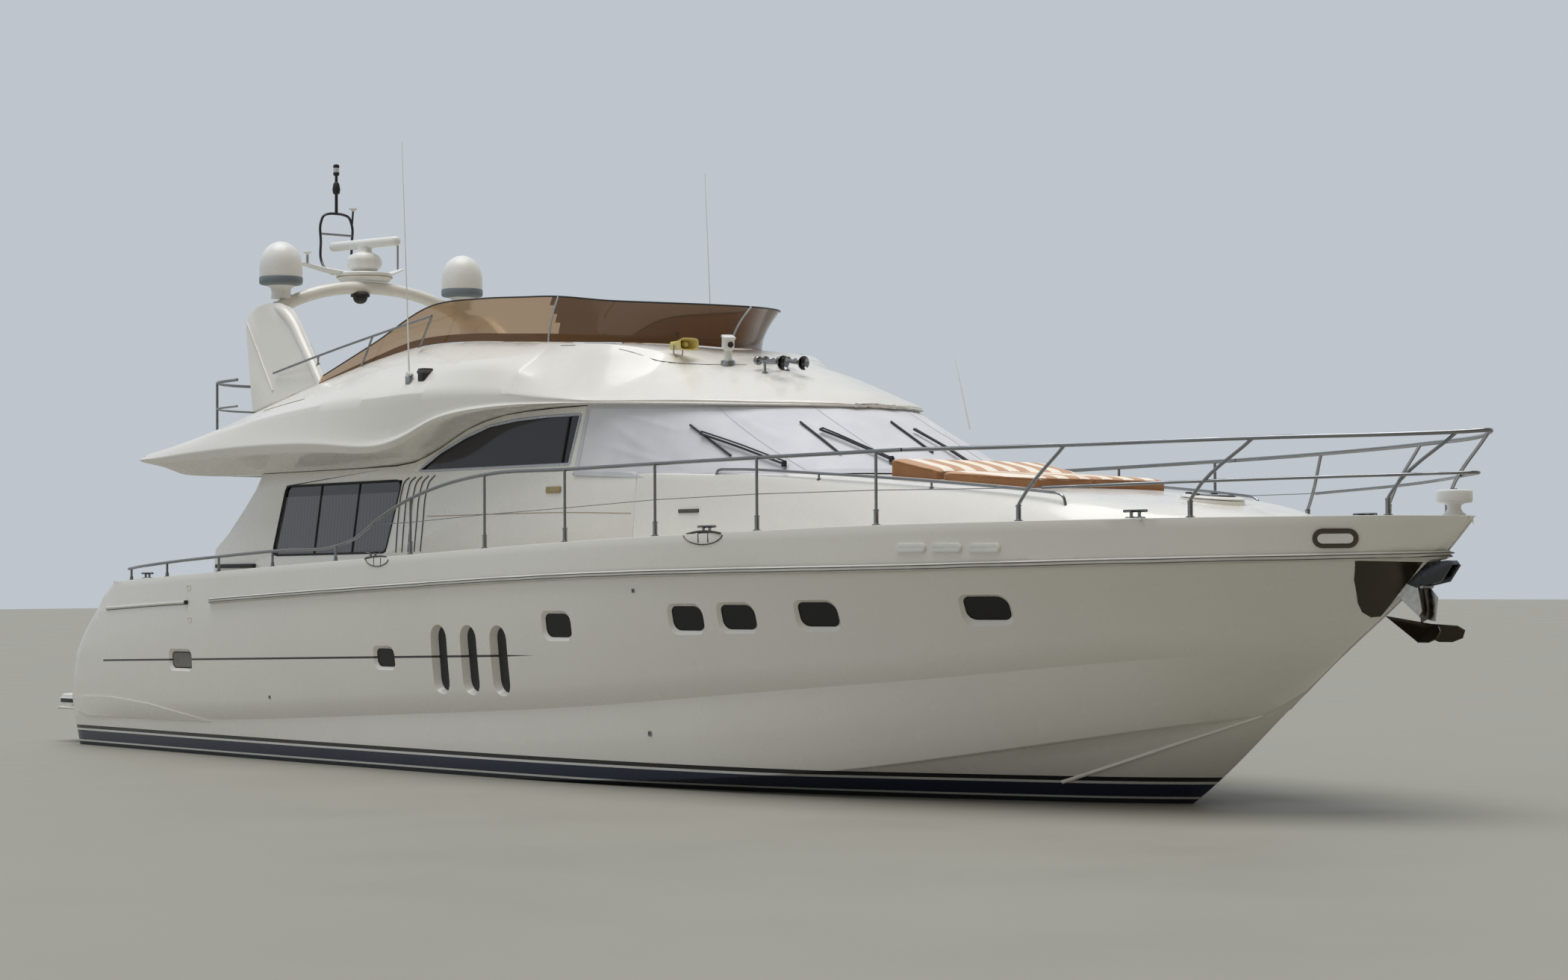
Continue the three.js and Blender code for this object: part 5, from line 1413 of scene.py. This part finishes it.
def makeSideRails():
    top = [(pulpitAftX - 0.014, 2.3, railTopZ(pulpitAftX)), (15.07, 2.492, railTopZ(15.07)),
           (13.59, 2.57, railTopZ(13.59)), (12.13, 2.6, railTopZ(12.13)), (10.69, 2.6, railTopZ(10.69)),
           (9.86, 2.6, 3.13), (9.2, 2.6, 2.99), (8.65, 2.598, 2.81), (8.1, 2.59, 2.58), (7.7, 2.58, 2.505),
           (6.6, 2.57, 2.47), (5.0, 2.53, 2.41), (3.6, 2.45, 2.35), (2.7, 2.37, 2.3), (2.35, 2.3, 2.28)]
    runs = [(smoothPath([(x, -y, z) for x, y, z in top]), railR)]
    posts = [(x, y, min(railTopZ(x), 3.0 if x < 9.5 else 9), sleeve) for x, y in upright]
    stubs = [(7.7, 2.58, 2.505), (6.3, 2.565, 2.46), (5.0, 2.53, 2.41), (3.6, 2.45, 2.35), (2.45, 2.32, 2.288)]
    posts += [(*stub, shortSleeve) for stub in stubs]
    bases = []
    for x, y, z, profile in posts:
        foot = deckEdgeZ(x, -y)
        runs.append(([(x, -y, foot), (x, -y, z)], railR - 0.004))
        bases.append(turned(profile, steel, 16, (x, -y, foot)))
    runs.append((guardWire, 0.004))
    starboard, port = pair(joined([tubes(runs, steel), *bases]), "guard_rail")
    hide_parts("side_rail_starboard")
    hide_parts("side_rail_port")


def makeAftRail():
    half = [(4.15, -1.78), (3.42, -1.64), (3.18, -1.4)]
    outline = [*half, (3.12, 0), *[(x, -y) for x, y in reversed(half)]]
    runs = [(smoothPath([(x, y, z) for x, y in outline]), radius)
            for z, radius in ((4.62, 0.019), (4.29, 0.013), (3.96, 0.013))]
    bases = []
    for x, y in ((3.42, -1.64), (3.13, -0.56), (3.13, 0.56), (3.42, 1.64)):
        runs.append(([(x, y, 3.601), (x, y, 4.62)], 0.017))
        bases.append(turned(shortSleeve, steel, 16, (x, y, 3.6)))
    obj = dress(joined([tubes(runs, steel), *bases]), "flybridge_rail")
    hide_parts("flybridge_aft_rail")


def makeRoofRails():
    rows = [(13.68, 1.746, 3.204), (15.0, 1.66, 3.125), (16.45, 1.52, 3.01), (17.7, 1.372, 2.89)]
    middle = [(x, -y, z) for x, y, z in rows]
    aftEnd = [(13.53, -1.755, 3.11), (13.54, -1.754, 3.165), (13.56, -1.753, 3.195), (13.6, -1.751, 3.205)]
    foreEnd = [(17.86, -1.35, 2.872), (17.93, -1.342, 2.862), (17.99, -1.336, 2.83), (18.02, -1.332, 2.74)]
    line = [*aftEnd, *middle, *foreEnd]
    runs = [(smoothPath(line, 5), 0.014)]
    bases = []
    for x, y, z in middle[1:-1]:
        foot = roofTree.ray_cast(Vector((x, y, 6)), Vector((0, 0, -1)))[0]
        runs.append(([(x, y, z), (x, y, foot.z)], 0.011))
        bases.append(turned([(0, 0), (0.024, 0), (0.022, 0.006), (0.012, 0.012), (0, 0.012)], steel, 12, foot))
    starboard, port = pair(joined([tubes(runs, steel), *bases]), "roof_handrail")
    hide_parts("coachroof_rail_starboard")
    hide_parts("coachroof_rail_port")


makePulpit()
makeSideRails()
makeAftRail()
makeRoofRails()
print("rails made")


# Cushions

padLook = {"pressure": 4.0, "steps": 15, "cap": 0.018, "gap": 0.012, "piping": 0.008}


def topRim(obj):
    # the rim of a pad's upper faces, as one loop of points
    bm = bmesh.new()
    bm.from_mesh(obj.data)
    bm.normal_update()
    tops = {face for face in bm.faces if face.normal.z > 0.6}  # the headrest's top leans by 10 degrees
    rim = [edge for edge in bm.edges if sum(face in tops for face in edge.link_faces) == 1]
    loop = [rim[0].verts[0], rim[0].verts[1]]
    while loop[-1] is not loop[0]:
        loop.append(next(edge.other_vert(loop[-1]) for edge in rim
                         if loop[-1] in edge.verts and loop[-2] not in edge.verts))
    points = [vertex.co.copy() for vertex in loop[:-1]]
    bm.free()
    return points


def puffed(nodeName, pieceName, material, sides, voxel, obj=None):
    # a pad, from its solid or its own blank, blown up as cloth and piped round its upper edge
    obj = obj or copyNode(nodeName, 0.001)
    corners = [Vector(v.co) for v in obj.data.vertices]
    low, high = [Vector([pickEnd(c[axis] for c in corners) for axis in range(3)]) for pickEnd in (min, max)]
    centre = (low + high) / 2
    factor = [1 - 2 * padLook["gap"] / (b - a) for a, b in zip(low, high)]
    obj.data.transform(Matrix.Translation(centre) @ Matrix.Diagonal((*factor, 1)) @ Matrix.Translation(-centre))
    if sides:
        whole, rim = surfaceTree(obj), topRim(obj)
    modify(obj, "BEVEL", width=0.02, segments=3, limit_method="ANGLE", angle_limit=math.radians(30))
    modify(obj, "REMESH", mode="VOXEL", voxel_size=voxel)
    blowUp(obj)
    modify(obj, "SUBSURF", levels=1, render_levels=1)
    paint(obj, material)
    if sides:
        paintFaces(obj, sides, lambda at, normal: whole.find_nearest(at)[1].z < 0.6)
        skin = surfaceTree(obj)
        piping = tubes([([skin.find_nearest(p)[0] for p in rim], padLook["piping"])], sides, cyclic=True)
        dress(piping, pieceName + "_piping", degrees=60)
    dress(obj, pieceName, degrees=60)
    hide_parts(nodeName)
    return obj


def blowUp(obj):
    home = [v.co.copy() for v in obj.data.vertices]
    pick(obj)
    cloth = obj.modifiers.new("cloth", "CLOTH")
    cloth.settings.use_pressure = True
    cloth.settings.uniform_pressure_force = padLook["pressure"]
    cloth.settings.effector_weights.gravity = 0
    cloth.settings.quality = 4
    for step in range(1, padLook["steps"] + 1):
        scene.frame_set(step)
    bpy.ops.object.modifier_apply(modifier="cloth")
    for vertex, start in zip(obj.data.vertices, home):
        move = vertex.co - start
        if move.length > padLook["cap"]:
            vertex.co = start + move * (padLook["cap"] / move.length)
    scene.frame_set(1)


# The sunpad lies on the coachroof: a wedge behind, and two flat pads side by side
sunpad = {
    "aftX": 15.34, "aftHalf": 1.07, "foreX": 17.19, "foreHalf": 0.9, "split": -0.12, "sunk": 0.03, "steps": 6,
    "headrest": (15.34, 16.0, 0.175, 0.085), "flat": (16.01, 17.25, 0.085, 0.1),  # x to x, height at each
}


def padBlank(place, fromShare, toShare):
    # between two shares of the width, 0 at starboard
    x0, x1, high0, high1 = sunpad[place]
    steps = sunpad["steps"]
    rings = []
    for i in range(steps + 1):
        x = x0 + (x1 - x0) * i / steps
        high = high0 + (high1 - high0) * i / steps
        half = sunpad["aftHalf"] + (sunpad["foreHalf"] - sunpad["aftHalf"]) * (x - sunpad["aftX"]) / (
            sunpad["foreX"] - sunpad["aftX"])
        roof = [roofTree.ray_cast(Vector((x, half * (2 * share - 1), 6)), Vector((0, 0, -1)))[0]
                for share in shares(fromShare, toShare, steps)]
        rings.append([p + Vector((0, 0, high)) for p in roof]
                     + [p - Vector((0, 0, sunpad["sunk"])) for p in reversed(roof)])
    return lofted(rings, cushionStripe)


middle = (1 + sunpad["split"] / sunpad["foreHalf"]) / 2
puffed("sunpad_back", "sunpad_headrest", cushionStripe, cushionTan, 0.02, padBlank("headrest", 0, 1))
puffed("sunpad", "sunpad_starboard", cushionStripe, cushionTan, 0.02, padBlank("flat", 0, middle))
puffed("sunpad", "sunpad_port", cushionStripe, cushionTan, 0.02, padBlank("flat", middle, 1))
puffed("helm_seat", "helm_bench", vinylWhite, None, 0.025)
puffed("flybridge_settee", "settee", vinylWhite, None, 0.035)
puffed("cockpit_bench", "aft_bench", vinylWhite, None, 0.03)
print("cushions made")


# Gear on deck and below

def makeHatch():
    hatch = refine("foredeck_hatch", "deck_hatch", "gelcoat", gelcoat, levels=1, soft=30, hard=60, bevel=0.004,
                   body="hatch")
    tree = surfaceTree(hatch)
    parts = []
    for x, y in ((18.42, -0.12), (18.48, 0.16), (18.6, -0.22), (18.74, 0.1)):
        foot, normal, _, _ = tree.ray_cast(Vector((x, y, 6)), Vector((0, 0, -1)))
        parts.append(turned([(0, 0), (0.035, 0), (0.034, 0.01), (0.02, 0.016), (0, 0.016)], blackPlastic, 16, foot, normal))
    middle, normal, _, _ = tree.ray_cast(Vector((18.6, 0, 6)), Vector((0, 0, -1)))
    lens = turned([(0, 0.004), (0.2, 0.004), (0.215, 0.002), (0.22, -0.004)], darkGlass, 40, middle, normal)
    dress(joined([*parts, lens]), "deck_hatch_fittings", "hatch")


windlassHead = [(0, -0.02), (0.1, -0.02), (0.1, 0.012), (0.075, 0.03), (0.058, 0.06), (0.06, 0.09), (0.09, 0.105),
                (0.145, 0.112), (0.155, 0.125), (0.156, 0.2), (0.148, 0.214), (0.12, 0.222), (0, 0.228)]


def makeWindlass():
    foot = Vector((21.32, 0, 2.602))
    head = turned(windlassHead, radome, 40, foot)
    button = turned([(0, 0.225), (0.03, 0.225), (0.028, 0.232), (0, 0.233)], blackPlastic, 20, foot)
    dress(joined([head, button]), "windlass_head", degrees=35)
    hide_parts("windlass")


def plate(outline, y, half, material, bevel=0.004):
    # a flat plate cut to an outline in side view, its edges eased
    obj = lofted([[(x, y + d, z) for x, z in outline] for d in (-half, half)], material)
    modify(obj, "BEVEL", width=bevel, segments=2, limit_method="ANGLE", angle_limit=math.radians(30))
    return obj


anchor = {
    "sideA": [(20.95, 2.1), (20.72, 1.945), (20.98, 1.74), (21.01, 1.79)],
    "sideB": [(20.96, 2.06), (21.1, 1.905), (21.07, 1.7), (20.9, 1.73)],
    "shank": [(20.93, 2.11), (21.0, 2.11), (21.04, 1.86), (21.03, 1.72), (20.96, 1.69)],
    "wing": [(20.58, 0.004, 1.74), (21.06, 0.004, 1.675), (21.24, 0.13, 1.66), (21.29, 0.17, 1.62), (21.26, 0.18, 1.56),
             (21.16, 0.17, 1.525), (21.03, 0.15, 1.525)],
    "wingThick": 0.014,
}

def makeAnchor():
    # the side plates are bare steel; the shank and flukes take the darkened steel, which is painted dark reflection
    parts = [plate(anchor["sideA"], -0.05, 0.008, anchorSteel), plate(anchor["sideB"], 0.05, 0.008, anchorSteel),
             plate(anchor["shank"], 0, 0.012, steelPaintedDark)]
    for side in (-1, 1):
        wing = newMesh("wing", [(x, side * y, z) for x, y, z in anchor["wing"]], [range(len(anchor["wing"]))])
        modify(wing, "SOLIDIFY", thickness=anchor["wingThick"], offset=0)
        editing(wing)
        bpy.ops.mesh.select_all(action="SELECT")
        bpy.ops.mesh.normals_make_consistent(inside=False)
        deselect()
        parts.append(paint(wing, steelPaintedDark))
    pin = turned([(0, -0.075), (0.018, -0.075), (0.018, 0.075), (0, 0.075)], satinSteel, 16, (21.02, 0, 2.0), (0, 1, 0))
    dress(joined([*parts, pin]), "bower_anchor", degrees=20)
    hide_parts("anchor")
    chute = refine("anchor_chute", "chute", "stainless_steel", darkSteel, levels=0, bevel=0.005)
    return chute


hornBell = [(0, 0.33), (0.024, 0.345), (0.045, 0.405), (0.07, 0.43), (0.078, 0.44), (0.08, 0.447), (0.074, 0.45),
            (0.06, 0.43), (0.034, 0.4), (0.018, 0.36), (0.014, 0.24), (0, 0.24)]
hornPipe = [(0, 0.0), (0.046, 0.0), (0.05, 0.012), (0.05, 0.034), (0.044, 0.046), (0.018, 0.052), (0.014, 0.07),
            (0.016, 0.2), (0.024, 0.345)]


def makeHorns():
    # two trumpets side by side, each with its sound head and a smaller one beside it
    facing = Vector((1, -0.03, -0.12))
    parts = []
    for x, y, z, size in ((12.83, -0.62, 4.4, 1.0), (12.88, -0.36, 4.405, 0.94)):
        for profile in (hornPipe, hornBell):
            horn = turned([(r * size, h * size) for r, h in profile], steel, 28, (x, y, z), facing)
            parts.append(horn)
        head = [(0, 0), (0.036, 0), (0.04, 0.01), (0.038, 0.035), (0.015, 0.045), (0.012, 0.12), (0.03, 0.15), (0, 0.13)]
        parts.append(turned(head, steel, 20, (x + 0.02, y + 0.09, z + 0.01), facing))
        foot = Vector((x + 0.13, y, flyTop(x + 0.13, y)))
        post = turned([(0, -0.01), (0.035, -0.01), (0.035, 0.006), (0.014, 0.014), (0.013, z - foot.z), (0, z - foot.z)],
                      satinSteel, 16, foot)
        parts.append(post)
    parts.append(tubes([([(12.96, -0.64, 4.365), (13.01, -0.34, 4.37)], 0.014)], satinSteel))
    dress(joined(parts), "horns")
    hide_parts("air_horns")


def makeSearchlight():
    x, y = 12.45, -0.7
    foot = Vector((x, y, flyTop(x, y)))
    base = turned([(0, -0.02), (0.078, -0.02), (0.078, 0.03), (0.07, 0.044), (0, 0.044)], satinSteel, 24, foot)
    neck = turned([(0, 0.04), (0.052, 0.04), (0.044, 0.08), (0.042, 0.16), (0, 0.17)], radome, 24, foot)
    head = block((-0.075, -0.06, -0.07), (0.085, 0.06, 0.08), radome, 0.032, 4)
    eye = turned([(0, 0.083), (0.03, 0.083), (0.032, 0.09), (0.026, 0.095), (0, 0.09)], blackPlastic, 20, (0, 0.012, 0.0),
                 (1, 0, 0))
    lid = block((-0.08, -0.066, 0.05), (0.105, 0.066, 0.086), radome, 0.016)
    top = joined([head, eye, lid])
    top.data.transform(Matrix.Translation(foot + Vector((0, 0, 0.225))) @ Matrix.Rotation(-0.5, 4, "Z")
                       @ Matrix.Rotation(0.22, 4, "Y"))
    dress(joined([base, neck, top]), "spotlight")
    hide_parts("searchlight")


def makeHailer():
    x, y = 11.98, -1.0
    foot = Vector((x, y, flyTop(x, y)))
    rings = [[(a, b * math.copysign(abs(math.cos(t)) ** 0.45, math.cos(t)), c * math.copysign(abs(math.sin(t)) ** 0.45, math.sin(t)))
              for t in [2 * math.pi * (i + 0.5) / 28 for i in range(28)]]
             for a, b, c in ((-0.12, 0.035, 0.035), (-0.115, 0.045, 0.045), (0.0, 0.048, 0.046), (0.09, 0.075, 0.052),
                             (0.185, 0.115, 0.066), (0.195, 0.118, 0.068), (0.19, 0.105, 0.056), (0.1, 0.062, 0.04),
                             (0.05, 0.04, 0.03))]
    shell = lofted(rings, yellowPlastic)
    core = turned([(0, 0.05), (0.03, 0.05), (0.034, 0.12), (0.024, 0.14), (0, 0.145)], yellowPlastic, 20, facing=(1, 0, 0))
    horn = joined([shell, core])
    horn.data.transform(Matrix.Translation(foot + Vector((0.02, 0, 0.115))) @ Matrix.Rotation(-0.1, 4, "Z"))
    bracket = tubes([(smoothPath([foot + Vector((0, -0.06, 0.12)), foot + Vector((0, -0.05, 0.01)),
                                  foot + Vector((0, 0.05, 0.01)), foot + Vector((0, 0.06, 0.12))]), 0.007)], satinSteel)
    dress(joined([horn, bracket]), "hailer", degrees=40)
    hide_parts("loudhailer")


def makeHelm():
    refine("helm_console", "console", "gelcoat", gelcoat, levels=0, bevel=0.02, segments=3)
    tree = surfaceTree(bpy.data.objects["console"])
    parts = []
    for y in (-1.05, -0.9, -0.75, -0.6, -0.45):
        place, normal, _, _ = tree.ray_cast(Vector((9.3, y, 4.62)), Vector((1, 0, -0.1)))
        if place:
            dial = turned([(0, 0), (0.045, 0), (0.05, 0.004), (0.048, 0.01), (0.04, 0.008), (0, 0.006)], blackPlastic, 24,
                          place, normal)
            parts.append(dial)
    for y in (-0.34, -0.28):
        place = tree.ray_cast(Vector((10.1, y, 6)), Vector((0, 0, -1)))[0]
        if place:
            parts.append(tubes([([place, place + Vector((-0.03, 0, 0.11))], (0.008, 0.006))], steel))
            parts.append(turned([(0, -0.018), (0.014, -0.012), (0.016, 0.006), (0, 0.016)], blackPlastic, 12,
                                place + Vector((-0.03, 0, 0.12))))
    dress(joined(parts), "helm_instruments")
    refine("steering_wheel", "helm_wheel", "wheel_rubber", wheelGrip, levels=2, soft=60, hard=89, body="wheel")


def makeStern():
    refine("flybridge_stair", "stair", "gelcoat", gelcoat, levels=0, bevel=0.004)
    handle = smoothPath([(1.02, -0.2, 0.93), (0.985, -0.19, 0.94), (0.985, 0.19, 0.94), (1.02, 0.2, 0.93)], 5)
    strip = smoothPath([(0.02, -2.1, 0.44), (0.02, 2.1, 0.44)], 4)
    fender = [([(0.25, -2.165, 0.452), (1.28, -2.19, 0.452)], (0.02, 0.006))]
    slot = block((0.21, -2.16, 0.52), (0.58, -2.14, 0.575), blackPlastic, 0.008)
    rim = block((0.19, -2.156, 0.505), (0.6, -2.138, 0.59), radome, 0.008)
    pair(joined([tubes(fender, strakeVinyl), slot, rim]), "platform_edge")
    dress(tubes([(strip, 0.014)], strakeVinyl), "platform_fender")
    dress(tubes([(handle, 0.009)], steel), "garage_handle", "garage_door")


makeHatch()
makeWindlass()
makeAnchor()
makeHorns()
makeSearchlight()
makeHailer()
makeHelm()
makeStern()
for side in ("starboard", "port"):
    refine("shaft_bracket_" + side, "p_bracket_" + side, "bronze", bronze, levels=0, bevel=0.004)
    refine("propeller_" + side, "screw_" + side + "_casting", "bronze", bronze, levels=0, bevel=0.003,
           body="screw_" + side)
    refine("rudder_" + side, "rudder_blade_" + side, "bronze", bronze, levels=1, soft=40, hard=70,
           body="rudder_" + side)
    refine("trim_tab_" + side, "tab_" + side + "_plate", "stainless_steel", satinSteel, levels=0, bevel=0.004,
           body="tab_" + side)
print("gear made")
